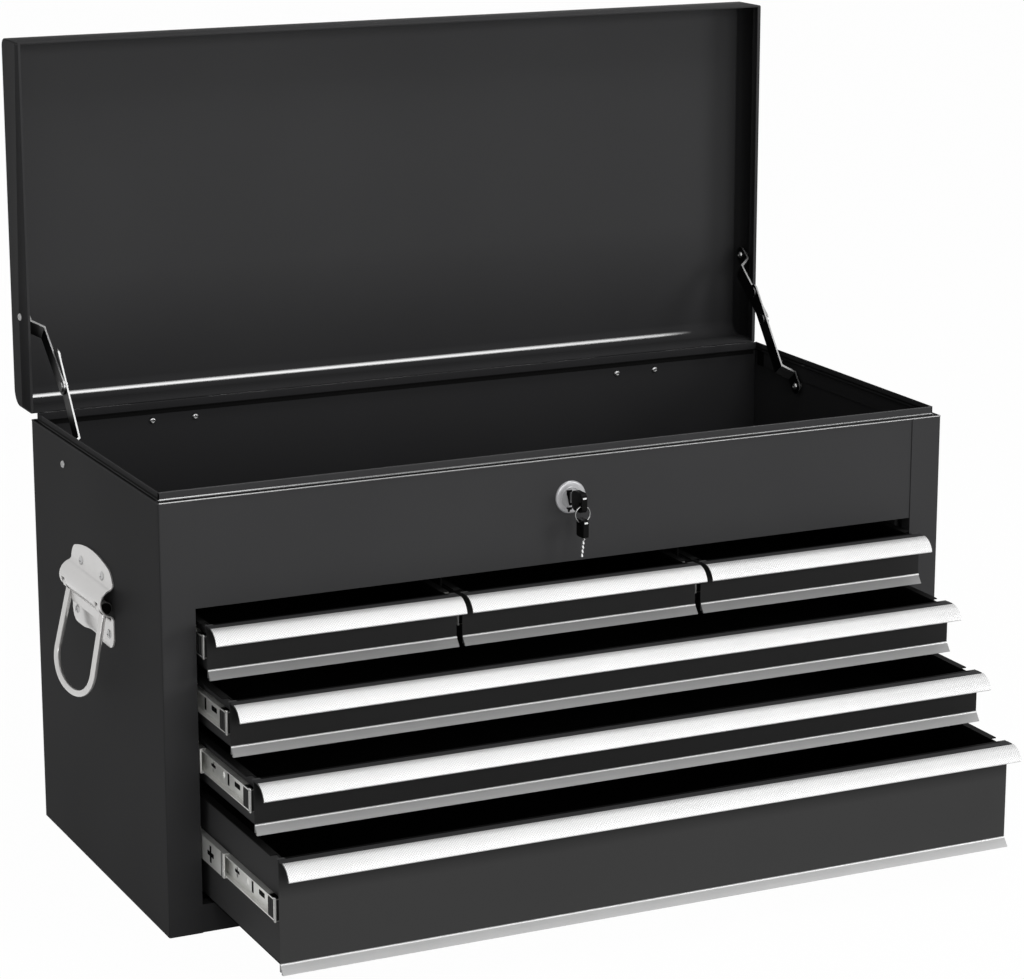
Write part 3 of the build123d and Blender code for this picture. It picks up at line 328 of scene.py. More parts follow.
def makeFinish(name, s, toneRange=(0.3, 0.7)):
    material = bpy.data.materials.new(name)
    tree = freshTree(material)
    skin = addNode(tree, "ShaderNodeGroup", s.get("skinInputs", ()), node_tree=skins[s["skin"]]).outputs
    tone = skin["Tone"]
    colour = colourBlend(tree, tone, s["dark"], s["light"])
    layers = [(mask, s[key]) for key, mask in (("turned", facing), ("shell", shellMask)) if key in s]
    layers += [(boxMask, zone) for zone in s.get("zones", ())]
    for mask, part in layers:
        other = colourBlend(tree, tone, part["dark"], part["light"])
        colour = colourBlend(tree, mask(tree, part), colour, other)
    bump = addNode(tree, "ShaderNodeBump", {"Strength": s["bump"], "Distance": s["reach"],
            "Height": skin["Height"]})
    inputs = {"Base Color": colour, "Metallic": s["metal"], "Specular IOR Level": s["specular"],
              "Roughness": ramped(tree, tone, *toneRange, *s["rough"]), "Normal": bump.outputs["Normal"]}
    for key, mask in (("paintedHighlight", paintedHighlightMask), ("stripe", highlightStripeMask)):
        if key in s:
            inputs.update({"Coat Roughness": s[key]["rough"], "Coat IOR": s[key]["ior"],
                    "Coat Weight": mask(tree, s[key])})
    shader = addNode(tree, "ShaderNodeBsdfPrincipled", inputs)
    addNode(tree, "ShaderNodeOutputMaterial", {"Surface": shader.outputs["BSDF"]})
    return material


materials = {name: makeFinish(name, s) for name, s in finishes.items()}
slotFinish = {"charcoal_paint": "charcoalPaint", "zinc_steel": "slideZinc", "stay_steel": "stayDark",
        "rivet_steel": "rivetBright", "brushed_aluminium": "pullAluminium",
        "satin_trim": "trimSatin", "bright_nickel": "handleNickel", "lock_chrome": "lockChrome",
        "key_metal": "lockChrome", "key_plastic": "keyPlastic"}
# the drawer dividers are painted in shade
nodeFinish = {"cabinet_shell": "bodyPaint", "drawer_dividers": "slotShade"}
nodeFinish.update({drawer + "_tray": drawer + "Paint" for drawer in drawers})
for part in frame["record"]["subparts"]:
    mesh = nodes[part["node"]].data
    mesh.materials.clear()
    mesh.materials.append(materials[nodeFinish.get(part["node"], slotFinish[part["material_slot"]])])
print("finishes made:", len(materials))


# surface helpers: a shape is its points, in millimetres, and its faces
def gridFaces(rows, columns, closeRows=False, closeColumns=False):
    # quads between neighbouring rows and columns of a grid of points
    r = np.arange(rows if closeRows else rows - 1)
    c = np.arange(columns if closeColumns else columns - 1)
    i, j = np.meshgrid(r, c, indexing="ij")
    a = i * columns + j
    b = i * columns + (j + 1) % columns
    d = ((i + 1) % rows) * columns + j
    e = ((i + 1) % rows) * columns + (j + 1) % columns
    return np.stack([a, b, e, d], -1).reshape(-1, 4).tolist()


def capped(rings, count, closed=True):
    # faces of rows of points, whose first and last row are filled
    last = (rings - 1) * count
    faces = gridFaces(rings, count, closeColumns=closed)
    return faces + [list(range(count)), list(range(last + count - 1, last - 1, -1))]


def arc(centre, radius, fromDeg, toDeg, count):
    # centre + radius * (cos t, sin t)
    t = np.radians(np.linspace(fromDeg, toDeg, count))
    return np.stack([centre[0] + radius * np.cos(t), centre[1] + radius * np.sin(t)], -1)


def joinShapes(shapes):
    # several shapes as one, with the faces' numbers moved on
    points, faces, base = [], [], 0
    for shape in shapes:
        points.append(shape[0])
        faces += [[k + base for k in face] for face in shape[1]]
        base += len(shape[0])
    return joined(points), faces


def outwards(shape):
    # turns every face away from the middle of the shape, judged by the sum of normal times distance
    points, faces = shape
    points = np.asarray(points)
    middle = points.mean(0)
    total = 0.0
    for face in faces:
        p = points[face] - middle
        fan = np.cross(p[1:-1] - p[0], p[2:] - p[0])
        total += float((fan * p[0]).sum())
    return shape if total > 0 else (points, [face[::-1] for face in faces])


def solids(shapes):
    return joinShapes([outwards(shape) for shape in shapes])


def floats(*vectors):
    return (np.asarray(k, float) for k in vectors)


def sweptBar(outline, low, high, origin, u, v, w):
    # closed outline (a, b) carried along w: origin + a u + b v + t w, capped at both ends
    outline, origin, u, v, w = floats(outline, origin, u, v, w)
    flat = origin + outline[:, :1] * u + outline[:, 1:] * v
    return joined([flat + low * w, flat + high * w]), capped(2, len(outline))


def barAlongX(outline, low, high, corner):
    # outline (back, up) from the corner, carried along X
    return outwards(sweptBar(outline, low, high, corner, yAxis, zAxis, xAxis))


def plainBar(low, high):
    # box between two corners
    low, high = np.minimum(low, high), np.maximum(low, high)
    face = [(low[0], low[1]), (high[0], low[1]), (high[0], high[1]), (low[0], high[1])]
    return outwards(sweptBar(face, low[2], high[2], (0, 0, 0), xAxis, yAxis, zAxis))


def lathe(profile, origin, axis, count):
    # profile (r, h) turned about the axis: origin + h axis + r (cos t u + sin t v)
    profile, axis = floats(profile, axis)
    alongX = abs(axis[0]) > 0.5
    u = np.cross(axis, yAxis if alongX else xAxis)
    u /= np.linalg.norm(u)
    v = np.cross(axis, u)
    t = np.linspace(0, 2 * np.pi, count, endpoint=False)
    ring = np.cos(t)[:, None] * u + np.sin(t)[:, None] * v
    points = np.asarray(origin) + profile[:, None, 1:] * axis + profile[:, None, :1] * ring[None]
    return points.reshape(-1, 3), gridFaces(len(profile), count, closeColumns=True)


def roundedLoop(corners, radius, count):
    # polygon with each corner replaced by an arc tangent to both of its sides
    corners = np.asarray(corners, float)
    out = []
    for k, q in enumerate(corners):
        p, r = corners[k - 1], corners[(k + 1) % len(corners)]
        a, b = (p - q) / np.linalg.norm(p - q), (r - q) / np.linalg.norm(r - q)
        half = math.acos(float(np.clip(a @ b, -1, 1))) / 2
        centre = q + (a + b) / np.linalg.norm(a + b) * radius / math.sin(half)
        s, e = (q + way * radius / math.tan(half) - centre for way in (a, b))
        t = np.linspace(0, math.atan2(s[0] * e[1] - s[1] * e[0], s @ e), count)
        turned = [s[0] * np.cos(t) - s[1] * np.sin(t), s[0] * np.sin(t) + s[1] * np.cos(t)]
        out.append(centre + np.stack(turned, -1))
    return joined(out)


def loopAhead(loop):
    # unit direction along a closed loop at each of its points
    ahead = np.roll(loop, -1, 0) - np.roll(loop, 1, 0)
    return ahead / np.linalg.norm(ahead, axis=1)[:, None]


def loopTube(loop, radius, origin, u, v, count):
    # round wire along a closed flat loop: p + radius (cos t n + sin t m),
    # n across the loop, m out of its plane
    origin, u, v = floats(origin, u, v)
    path = origin + loop[:, :1] * u + loop[:, 1:] * v
    m = np.cross(u, v)
    n = np.cross(m, loopAhead(path))
    t = np.linspace(0, 2 * np.pi, count, endpoint=False)[None, :, None]
    points = path[:, None] + radius * (np.cos(t) * n[:, None] + np.sin(t) * m)
    return points.reshape(-1, 3), gridFaces(len(path), count, True, True)


def bevelledPlate(loop, gauge, bevel, origin, u, v, w, ease=0.3):
    # loop at the back, at the start of the bevel, on it and at the face, capped;
    # the loop runs anticlockwise
    origin, u, v, w = floats(origin, u, v, w)
    ahead = loopAhead(loop)
    inward = np.stack([-ahead[:, 1], ahead[:, 0]], -1)
    steps = [(0, 0), (0, gauge - bevel), (bevel * ease, gauge - bevel * ease), (bevel, gauge)]
    rings = [(loop + inward * k, t) for k, t in steps]
    points = [origin + k[:, :1] * u + k[:, 1:] * v + t * w for k, t in rings]
    return joined(points), capped(len(rings), len(loop))


def makePiece(name, shape, finish, body, stands=(), sharp=32, uv=None):
    points, faces = shape
    mesh = bpy.data.meshes.new(name)
    mesh.from_pydata((np.asarray(points) * mm).tolist(), [], faces)
    if uv is not None:
        layer = mesh.uv_layers.new(name="stripMap")
        corner = np.empty(len(mesh.loops), np.int32)
        mesh.loops.foreach_get("vertex_index", corner)
        layer.data.foreach_set("uv", np.asarray(uv, np.float32)[corner].ravel())
    mesh.shade_smooth()
    mesh.set_sharp_from_angle(angle=math.radians(sharp))
    mesh.materials.append(materials[finish])
    piece = bpy.data.objects.new(name, mesh)
    bpy.context.scene.collection.objects.link(piece)
    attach(piece, body)
    if stands:
        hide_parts(*stands)
    return piece


def thicken(piece, gauge):
    # gives a sheet its thickness, on its inner side
    sheet = piece.modifiers.new("sheet", "SOLIDIFY")
    sheet.thickness = gauge * mm
    sheet.offset = -1


# drawer trays: folded sheet, narrow return along the top of the front, side flanges behind a notch
tray = dict(sheet=0.8, drop=1.5, setback=14.5, fold=3.4, slide=4.2, flange=4.7)


def trayShape(s, drawer):
    low, high = boxMm(drawer + "_tray")
    slideLow, slideHigh = boxMm(drawer + "_inner_slides")
    left, right = slideLow[0] + s["slide"], slideHigh[0] - s["slide"]
    g, top = s["sheet"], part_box(drawer + "_pull")[1].z / mm - s["drop"]
    front, back, floor = low[1], high[1], low[2]
    walls = [((left, front + g, floor), (right, back, floor + g)),
             ((left, back - g, floor), (right, back, top)),
             ((low[0], front, floor), (high[0], front + g, high[2])),
             ((low[0], front, high[2] - g), (high[0], front + s["fold"], high[2]))]
    for wall, way in ((left, 1), (right, -1)):
        walls += [((wall, front + g, floor), (wall + way * g, back, top)),
                  ((wall, front + s["setback"], top - g), (wall - way * s["flange"], back, top))]
    return joinShapes([plainBar(*corners) for corners in walls])


for drawer in drawers:
    makePiece(drawer + "_trayShell", trayShape(tray, drawer), drawer + "Paint", drawer,
              [drawer + "_tray"])
print("trays made")

# pull strips: painted lip, aluminium fall with a rounded back edge and a bead, and the leg that holds them
pull = dict(gauge=1.3, lip=6.0, reach=17.8, fall=9.0, leg=13.0, bead=1.0, legInset=8.0, back=0.9, gap=0.5,
            sink=0.25, outerDeg=100, innerDeg=94, beadDeg=2)


def pullOutline(s):
    # outer arc is tangent to the flat lip and ends at the tip; the inner one runs a gauge inside it;
    # the back edge behind the lip is rounded
    run, drop, b = s["reach"] - s["lip"], s["fall"], s["back"]
    radius = (run ** 2 + drop ** 2) / (2 * drop)
    centre = (-s["lip"], -radius)
    endDeg = math.degrees(math.atan2(radius - drop, -run))
    return joined([
        arc((-s["lip"] - s["gap"] - b, -b), b, 0, 90, 6),
        arc(centre, radius, s["outerDeg"], endDeg, 22),
        arc((-s["reach"] + s["bead"], -drop), s["bead"], 180, 360, 12),
        arc(centre, radius - s["gauge"], endDeg + s["beadDeg"], s["innerDeg"], 18),
    ])


def stripUv(outline, low, high):
    # along the strip and round its outline, in millimetres
    step = np.linalg.norm(np.diff(outline, axis=0), axis=1)
    around = joined([[0], np.cumsum(step)])
    return joined([np.stack([np.full(len(outline), t), around], -1) for t in (low, high)])


def pullHolder(s, low, high):
    # flat lip with its front edge broken, and the leg below it
    g, lip, leg, sink, inset = s["gauge"], s["lip"], s["leg"], s["sink"], s["legInset"]
    corner = (0, high[1], high[2])
    flat = [(0, 0), (-lip + sink, 0), (-lip, -sink), (-lip, -g), (0, -g)]
    down = [(0, -g), (-g, -g), (-g, -leg), (0, -leg)]
    return joinShapes([barAlongX(flat, low[0], high[0], corner),
            barAlongX(down, low[0] + inset, high[0] - inset, corner)])


for drawer in drawers:
    low, high = boxMm(drawer + "_pull")
    outline, stands = pullOutline(pull), [drawer + "_pull"]
    strip = barAlongX(outline, low[0], high[0], (0, high[1], high[2]))
    makePiece(drawer + "_pullStrip", strip, "pullAluminium", drawer, stands,
              uv=stripUv(outline, low[0], high[0]))
    makePiece(drawer + "_pullLip", pullHolder(pull, low, high), "charcoalPaint", drawer,
              stands)

# lower trims: rounded top edge painted bright as a highlight, leaning face and a rounded hem
trim = dict(gauge=0.9, reach=4.7, height=6.6, hem=2.6, lift=1.0, bead=0.75, roll=0.35, rollDeg=150,
            beadIn=0.3)


def trimOutline(s):
    # face down to the hem, rolled round the hem and back up inside
    g, k, tip = s["gauge"], s["roll"], -s["reach"]
    top = s["height"] - 1.5 * s["bead"]
    return joined([
        [(-s["bead"], top)],
        arc((tip + k, k), k, s["rollDeg"], 270, 6),
        [(tip + s["hem"], 0), (tip + s["hem"], g), (tip + 2 * g, g),
         (-g, s["height"] - 3 * g), (-g, s["lift"]), (0, s["lift"]), (0, top)],
    ])


def trimBead(s):
    # half round at the top of the face
    b, top = s["bead"], s["height"]
    return joined([[(0, top - 2 * b), (0, top)], arc((-s["beadIn"], top - b), b, 90, 270, 12)])


for drawer in drawers:
    low, high = boxMm(drawer + "_trim")
    for ending, outline, finish in (("_trimStrip", trimOutline(trim), drawer + "Trim"),
            ("_trimEdge", trimBead(trim), "trimEdge")):
        strip = barAlongX(outline, low[0], high[0], (0, high[1], low[2]))
        makePiece(drawer + ending, strip, finish, drawer, [drawer + "_trim"])
print("drawer strips made")

# lid: one drawn pan with rounded long edges; its rear keeps a little clear of the hinge leaves when
# shut, and its fold and lips lie a little inside the outer faces
lid = dict(frontRadius=6.0, rearRadius=12.0, edge=1.0, sheet=0.8, hem=6.5, lip=2.4, lipBend=1.0, clear=0.06,
           skin=0.03, frontSteps=10, rearSteps=20, edgeSteps=5)


def lidPan(s):
    low, high = boxMm("lid_shell")
    y0, y1, z0, z1 = low[1], high[1], low[2] + s["clear"], high[2]
    fr, rr = s["frontRadius"], s["rearRadius"]
    # side outline of the open lid, from its top hem over the back to its lower hem
    line = joined([
        [(y0, z1)],
        arc((y1 - fr, z1 - fr), fr, 90, 0, s["frontSteps"]),
        arc((y1 - rr, z0 + rr), rr, 0, -90, s["rearSteps"]),
        [(y0, z0)],
    ])
    ahead = np.gradient(line, axis=0)
    normal = np.stack([-ahead[:, 1], ahead[:, 0]], -1)
    normal /= np.linalg.norm(normal, axis=1)[:, None]
    normal[0], normal[-1] = (0, 1), (0, -1)
    # rounded side edges: (x, inset) = (-half + e (1 - cos t), e (1 - sin t)), and the same mirrored
    t = np.radians(np.linspace(0, 90, s["edgeSteps"]))
    x, inset = -high[0] + s["edge"] * (1 - np.cos(t)), s["edge"] * (1 - np.sin(t))
    across = list(zip(np.append(x, -x[::-1]), np.append(inset, inset[::-1])))
    rings = [np.column_stack([np.full(len(line), x), line - k * normal]) for x, k in across]
    return outwards((joined(rings), capped(len(rings), len(line), closed=False)))


thicken(makePiece("lidPan", lidPan(lid), "lidPaint", "lid", ["lid_shell"], sharp=50),
        lid["sheet"])


def lipOutline(s):
    # (in, up): flat lip turned in from the side wall round a small outer bend, its free edge rounded
    b, g = s["lipBend"], s["sheet"]
    return joined([
        arc((b, b), b, 180, 270, 8),
        arc((s["lip"] - g / 2, g / 2), g / 2, -90, 90, 7),
        [(g, g), (g, 2 * b), (0, 2 * b)],
    ])


def lidHems(s):
    # fold along the front of the lid, which is its top edge when open, and lips along both sides
    low, high = boxMm("lid_shell")
    skin, e = s["skin"], s["edge"]
    shapes = [sweptBar(lipOutline(s), low[2] + e, high[2] - e, (side * (high[0] - skin), low[1], 0),
            (-side, 0, 0), yAxis, zAxis) for side, name in sides]
    # the fold's outer end is a half round
    thick, r = 2 * s["sheet"] - skin, s["sheet"] - skin / 2
    fold = joined([arc((r, r), r, 180, 360, 9), [(thick, s["hem"]), (0, s["hem"])]])
    top = (0, low[1], high[2] - skin)
    shapes.append(sweptBar(fold, low[0] + e, high[0] - e, top, -zAxis, yAxis, xAxis))
    return solids(shapes)


makePiece("lidHems", lidHems(lid), "charcoalPaint", "lid")
print("lid made")

# rim band: bent strip that stands inside the shut lid, all round
rim = dict(sheet=0.8, height=5.6, leg=13.0, rearLeg=5.0, sideIn=2.7, frontIn=7.4, rearIn=6.0, wallIn=0.8,
           frontWall=1.6, bend=0.4, root=0.3)


def zOutline(s, inset, wallIn, leg):
    # Z section (inset, height) from the leg over the ledge to the upstand, both bends rounded
    g, r, k = s["sheet"], s["bend"], s["root"]
    return joined([
        [(wallIn, -leg)],
        arc((wallIn + r, -r), r, 180, 90, 5),
        [(inset - k, 0)],
        arc((inset - k, k), k, -90, 0, 4),
        arc((inset + g / 2, s["height"] - g / 2), g / 2, 180, 0, 9),
        arc((inset + g - r, -g + r), r, 0, -90, 4),
        [(wallIn + g, -g), (wallIn + g, -leg)],
    ])


def rimBand(s):
    low, high = boxMm("top_rim")
    top, half = high[2] - s["height"], high[0] + s["wallIn"]
    front, rear = low[1] - s["frontWall"], high[1] + s["wallIn"]
    across = (-half + s["sideIn"], half - s["sideIn"])
    along = (front + s["frontIn"], rear - s["rearIn"])
    frontZ = zOutline(s, s["frontIn"], s["frontWall"], s["leg"])
    rearZ = zOutline(s, s["rearIn"], s["wallIn"], s["rearLeg"])
    sideZ = zOutline(s, s["sideIn"], s["wallIn"], s["leg"])
    shapes = [sweptBar(frontZ, *across, (0, front, top), yAxis, zAxis, xAxis),
              sweptBar(rearZ, *across, (0, rear, top), -yAxis, zAxis, xAxis)]
    shapes += [sweptBar(sideZ, *along, (side * half, 0, top), (-side, 0, 0), zAxis, yAxis)
               for side, name in sides]
    return solids(shapes)


makePiece("rimBand", rimBand(rim), "rimPaint", "chest", ["top_rim"])

# top edge of the cabinet: rounded fold along the front and along each side, carrying painted highlight lines
fold = dict(lift=0.15, round=0.55, bead=-0.35, end=0.6, sideBead=-0.5)


def roundedFold(s, height):
    # (out, up): half round laid on the wall at the given height
    return arc((-s["round"] + s["lift"], height), s["round"], -90, 90, 9)


def topFolds(s):
    low, high = boxMm("cabinet_shell")
    start, end = low + s["end"], high - s["end"]
    front = sweptBar(roundedFold(s, s["bead"]), start[0], end[0], (0, low[1], high[2]),
            -yAxis, zAxis, xAxis)
    aside = [sweptBar(roundedFold(s, s["sideBead"]), start[1], end[1], (side * high[0], 0, high[2]),
            (side, 0, 0), zAxis, yAxis) for side, name in sides]
    return solids([front]), solids(aside)


for name, shape, finish in zip(("frontFold", "sideFolds"), topFolds(fold), ("foldPaint", "softFoldHighlight")):
    makePiece(name, shape, finish, "chest")

# side handles: bracket stamped from one sheet, with its hood, screws and the wire bail
handle = dict(back=4.3, hoodDrop=92.6, halfWidth=44.3, shoulder=19.9, crown=27.5, fall=33.5, arch=2.6,
        archHalf=24.0, corner=9.0, gauge=1.2, hood=10.5, wrap=48.0, ease=3.0, skirt=6.0, skirtHalf=32.4,
        skirtCorner=1.2, strap=3.8, root=3.0, bevel=0.3, bevelDeg=50, endShare=0.1, endSteps=9,
        skirtSteps=15, strapSteps=6, rootSteps=6, hoodSteps=12, plateSteps=7, easeSteps=7, hangSteps=6)
bail = dict(out=4.8, below=4.4, tilt=12.0, radius=2.5, half=36.0, spread=3.0, length=68.4,
            bow=21.0, power=2.1, top=4.5, bowSteps=61, topSteps=12, wireTurns=20, eye=4.7,
            eyeEnds=(32.8, 39.6), eyeRound=0.4, eyeTurns=32)
screw = dict(head=3.4, height=1.3, shank=1.8, tail=4.0, point=0.8, slot=0.45, slotReach=2.0, slotDepth=0.6,
        slotGap=0.05, centre=0.02, upper=(22.4, 14.2), lower=(34.6, -24.1), slotRings=14, edgeRings=10,
        turns=64, shankTurns=16)
onAxis = 0.001  # radius that stands for the axis of a turned shape
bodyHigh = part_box("cabinet_shell")[1] / mm


def cornerDrop(across, half, corner):
    # how far a rounded corner falls away from its edge at each place along it
    over = np.clip((np.abs(across) - (half - corner)) / corner, 0, 1)
    return corner * (1 - np.sqrt(1 - over ** 2))


def placed(origin, out, outs, us, vs):
    # grid of points: origin + outs out + us Y + vs Z
    us = np.broadcast_to(us, vs.shape)
    return np.asarray(origin) + outs[..., None] * out + us[..., None] * yAxis + vs[..., None] * zAxis


def bracketSheet(s, origin, out):
    # outer face of the stamping as a grid: (u across, profile down), out(t) and v(t) along the profile,
    # with the plate edges following the arch of the top and the feet; below the hood it is left open
    w, R, g, k = s["halfWidth"], s["hood"], s["gauge"], s["root"]
    strapIn = w - s["strap"]
    ends = w - w * (1 - np.cos(np.linspace(0, np.pi / 2, s["endSteps"]))) * s["endShare"]
    right = np.unique(joined([np.linspace(0, s["skirtHalf"], s["skirtSteps"]),
            np.linspace(s["skirtHalf"], strapIn, s["strapSteps"]), ends]))
    u = joined([-right[:0:-1], right])
    rise = s["crown"] - s["shoulder"]
    radius = (w ** 2 + rise ** 2) / (2 * rise)
    fallAway = cornerDrop(u, w, s["corner"])
    top = s["crown"] - radius + np.sqrt(radius ** 2 - u ** 2) - fallAway
    arch = np.clip(np.cos(u / s["archHalf"] * np.pi / 2), 0, 1) ** 2 * (np.abs(u) < s["archHalf"])
    foot = -s["fall"] + s["arch"] * arch + fallAway
    # the hollow root of radius k touches both the plate's face and the hood
    lift = math.sqrt((R + k) ** 2 - (g + k) ** 2)
    top = np.maximum(top, lift + g)
    rootDeg = math.degrees(math.atan2(lift, g + k))
    curve = joined([arc((g + k, lift), k, 180, 180 + rootDeg, s["rootSteps"]),
            arc((0, 0), R, rootDeg, 0, s["hoodSteps"])[1:]])
    under = np.stack([curve[::-1, 0], -curve[::-1, 1]], -1)[1:]
    steps = np.linspace(0, 1, s["plateSteps"])[:, None]
    upper = top[None] + (lift - top)[None] * steps
    lower = -lift + (foot + lift)[None] * steps
    flat = np.full_like(upper, g)
    wide = np.ones_like(u)[None]
    vs = joined([upper[:-1], curve[:, 1:] * wide, under[:, 1:] * wide, lower[1:]])
    outs = joined([flat[:-1], curve[:, :1] * wide, under[:, :1] * wide, flat[1:]])
    points = placed(origin, out, outs, u, vs)
    quads = np.array(gridFaces(*vs.shape)).reshape(vs.shape[0] - 1, vs.shape[1] - 1, 4)
    first, line = len(upper) + len(curve) - 2, np.arange(len(quads))
    window = (line >= first) & (line < first + len(under))
    middle = np.abs((u[1:] + u[:-1]) / 2) < strapIn
    plate = (points.reshape(-1, 3), quads[~(window[:, None] & middle[None])].tolist())
    # middle of the hood: on round to the wrap, eased round a hollow bend into the straight skirt, whose
    # corners are rounded
    near = u[np.abs(u) <= s["skirtHalf"] + 1e-6]
    turn, ease = s["wrap"], s["ease"]
    hollow = (R + ease) * np.array([math.cos(math.radians(turn)), -math.sin(math.radians(turn))])
    curl = joined([arc((0, 0), R, 0, -turn, s["hoodSteps"]),
            arc(hollow, ease, 180 - turn, 180, s["easeSteps"])[1:]])
    drop = s["skirt"] - cornerDrop(near, s["skirtHalf"], s["skirtCorner"])
    hang = curl[-1, 1] - drop[None] * np.linspace(0, 1, s["hangSteps"])[1:, None]
    wide = np.ones_like(near)
    vs = joined([curl[:, 1:] * wide, hang])
    outs = joined([curl[:, :1] * wide, np.full_like(hang, curl[-1, 0])])
    hood = placed(origin, out, outs, near, vs)
    return joinShapes([plate, (hood.reshape(-1, 3), gridFaces(*vs.shape))])


def welded(shape, fine=1e-4):
    # points that lie together become one, so the sheets share their seams; unused points go
    points, faces = shape
    used, faces = np.unique(np.array(faces), return_inverse=True)
    grid = np.round(points[used] / fine).astype(np.int64)
    points, where = np.unique(grid, axis=0, return_inverse=True)
    return points * fine, where.ravel()[faces.reshape(-1, 4)].tolist()


def facedAlong(shape, way):
    # turns all faces over if the larger part of the sheet looks against the given way
    points, faces = shape
    p = np.asarray(points)[np.array(faces)]
    normal = np.cross(p[:, 1] - p[:, 0], p[:, 2] - p[:, 0]).sum(0)
    return shape if normal @ way > 0 else (points, [face[::-1] for face in faces])


def screwHead(s, origin, u, v, w):
    # polar grid: domed height less a cross that is cut in where |x| or |y| is small
    rings = joined([np.linspace(s["centre"], s["slotReach"], s["slotRings"]),
            np.linspace(s["slotReach"] + s["slotGap"], s["head"], s["edgeRings"])])
    t = np.linspace(0, 2 * np.pi, s["turns"], endpoint=False)
    r, a = np.meshgrid(rings, t, indexing="ij")
    x, y = r * np.cos(a), r * np.sin(a)
    h = s["height"] * np.sqrt(np.clip(1 - (r / s["head"]) ** 2, 0, 1))
    cut = ((np.abs(x) < s["slot"]) | (np.abs(y) < s["slot"])) & (r < s["slotReach"])
    h = h - cut * s["slotDepth"]
    points = np.asarray(origin) + x[..., None] * u + y[..., None] * v + h[..., None] * w
    faces = gridFaces(len(rings), len(t), closeColumns=True) + [list(range(len(t)))]
    return points.reshape(-1, 3), faces


def handleScrews(s, gauge, wallSpot, out):
    end = -s["tail"] - gauge
    shank = [(0, end), (s["shank"], end + s["point"]), (s["shank"], 0), (0, 0)]
    shapes = []
    for across, rise in (s["upper"], s["lower"]):
        for hand in (-1, 1):
            spot = wallSpot + hand * across * yAxis + rise * zAxis + gauge * out
            shapes += [screwHead(s, spot, yAxis, zAxis, out), lathe(shank, spot, out, s["shankTurns"])]
    return solids(shapes)


def bailLoop(s):
    # bottom of the wire: |a / foot|^n + |b / bow|^n = 1; the head is square with rounded corners
    foot, power, n = s["half"] + s["spread"], 2 / s["power"], s["topSteps"]
    turn = np.linspace(0, np.pi, s["bowSteps"])
    across = foot * np.sign(np.cos(turn)) * np.abs(np.cos(turn)) ** power
    down = s["bow"] * (1 - np.abs(np.sin(turn)) ** power) - s["length"]
    bow = np.stack([across, down], -1)
    head = roundedLoop([bow[-1], (-s["half"], 0), (s["half"], 0), bow[0]], s["top"], n)
    return joined([bow, head[n:3 * n]])


def bailEyes(s, spot):
    # rolled eyes about the wire's two feet
    e, k, (a, c) = s["eye"], s["eyeRound"], s["eyeEnds"]
    roll = [(onAxis, a), (e - k, a), (e, a + k), (e, c - k), (e - k, c), (onAxis, c)]
    return solids([lathe(roll, spot, hand * yAxis, s["eyeTurns"]) for hand in (-1, 1)])


hoodZ = bodyHigh[2] - handle["hoodDrop"]
for side, name in sides:
    out = side * xAxis
    wallSpot = np.array([side * bodyHigh[0], handle["back"], hoodZ])
    sheet = facedAlong(welded(bracketSheet(handle, wallSpot, out)), out)
    bracket = makePiece(name + "_handleBracket", sheet, "handleNickel", "chest",
            ["handle_brackets"], sharp=45)
    thicken(bracket, handle["gauge"])
    soft = bracket.modifiers.new("soft", "BEVEL")
    soft.width = handle["bevel"] * mm
    soft.segments = 2
    soft.limit_method = "ANGLE"
    soft.angle_limit = math.radians(handle["bevelDeg"])
    makePiece(name + "_handleScrews", handleScrews(screw, handle["gauge"], wallSpot, out), "screwSteel",
              "chest", ["handle_screws"], sharp=40)
    tilt = math.radians(bail["tilt"])
    spot = np.array([side * (bodyHigh[0] + bail["out"]), handle["back"], hoodZ - bail["below"]])
    up = np.array([-side * math.sin(tilt), 0, math.cos(tilt)])
    wire = outwards(loopTube(bailLoop(bail), bail["radius"], spot, yAxis, up, bail["wireTurns"]))
    for ending, shape, finish in (("_bailEyes", bailEyes(bail, spot), "eyeNickel"),
            ("_bailWire", wire, "handleNickel")):
        makePiece(name + ending, shape, finish, "bail_" + name, ["handle_bail_" + name])
print("handles made")

# rivets: hollow head on the outside, collar where a stay turns, head inside
# dome: (r, h) from the dimple over the head to its edge
rivet = dict(head=2.7, shank=2.0, turns=28,
        dome=[(onAxis, 0.675), (0.72, 0.675), (0.9, 1.275), (1.3, 1.5), (1.782, 1.395), (2.376, 0.9),
        (2.7, 0.225), (2.7, 0)])
hinge = dict(inset=108.3, spacing=33.3, drop=11.0, behind=2.5, above=1.1, sheet=0.8, leaf=1.0)
stay = dict(bodyForward=74.5, bodyBelow=18.6, lidForward=70.9, lidAbove=15.5, tabIn=3.9, tab=1.2, play=0.1)


def rivetProfile(s, stack, collar=()):
    # (r, h) from the dimple of the first head, over the collar, to the dimple of the second
    shank, wide = s["shank"], s["head"]
    middle = [(shank, 0)]
    if collar:
        low, high = collar
        middle += [(shank, low), (wide, low), (wide, high), (shank, high)]
    return ([(r, -h) for r, h in s["dome"]] + middle + [(shank, stack)]
            + [(r, stack + h) for r, h in s["dome"][::-1]])


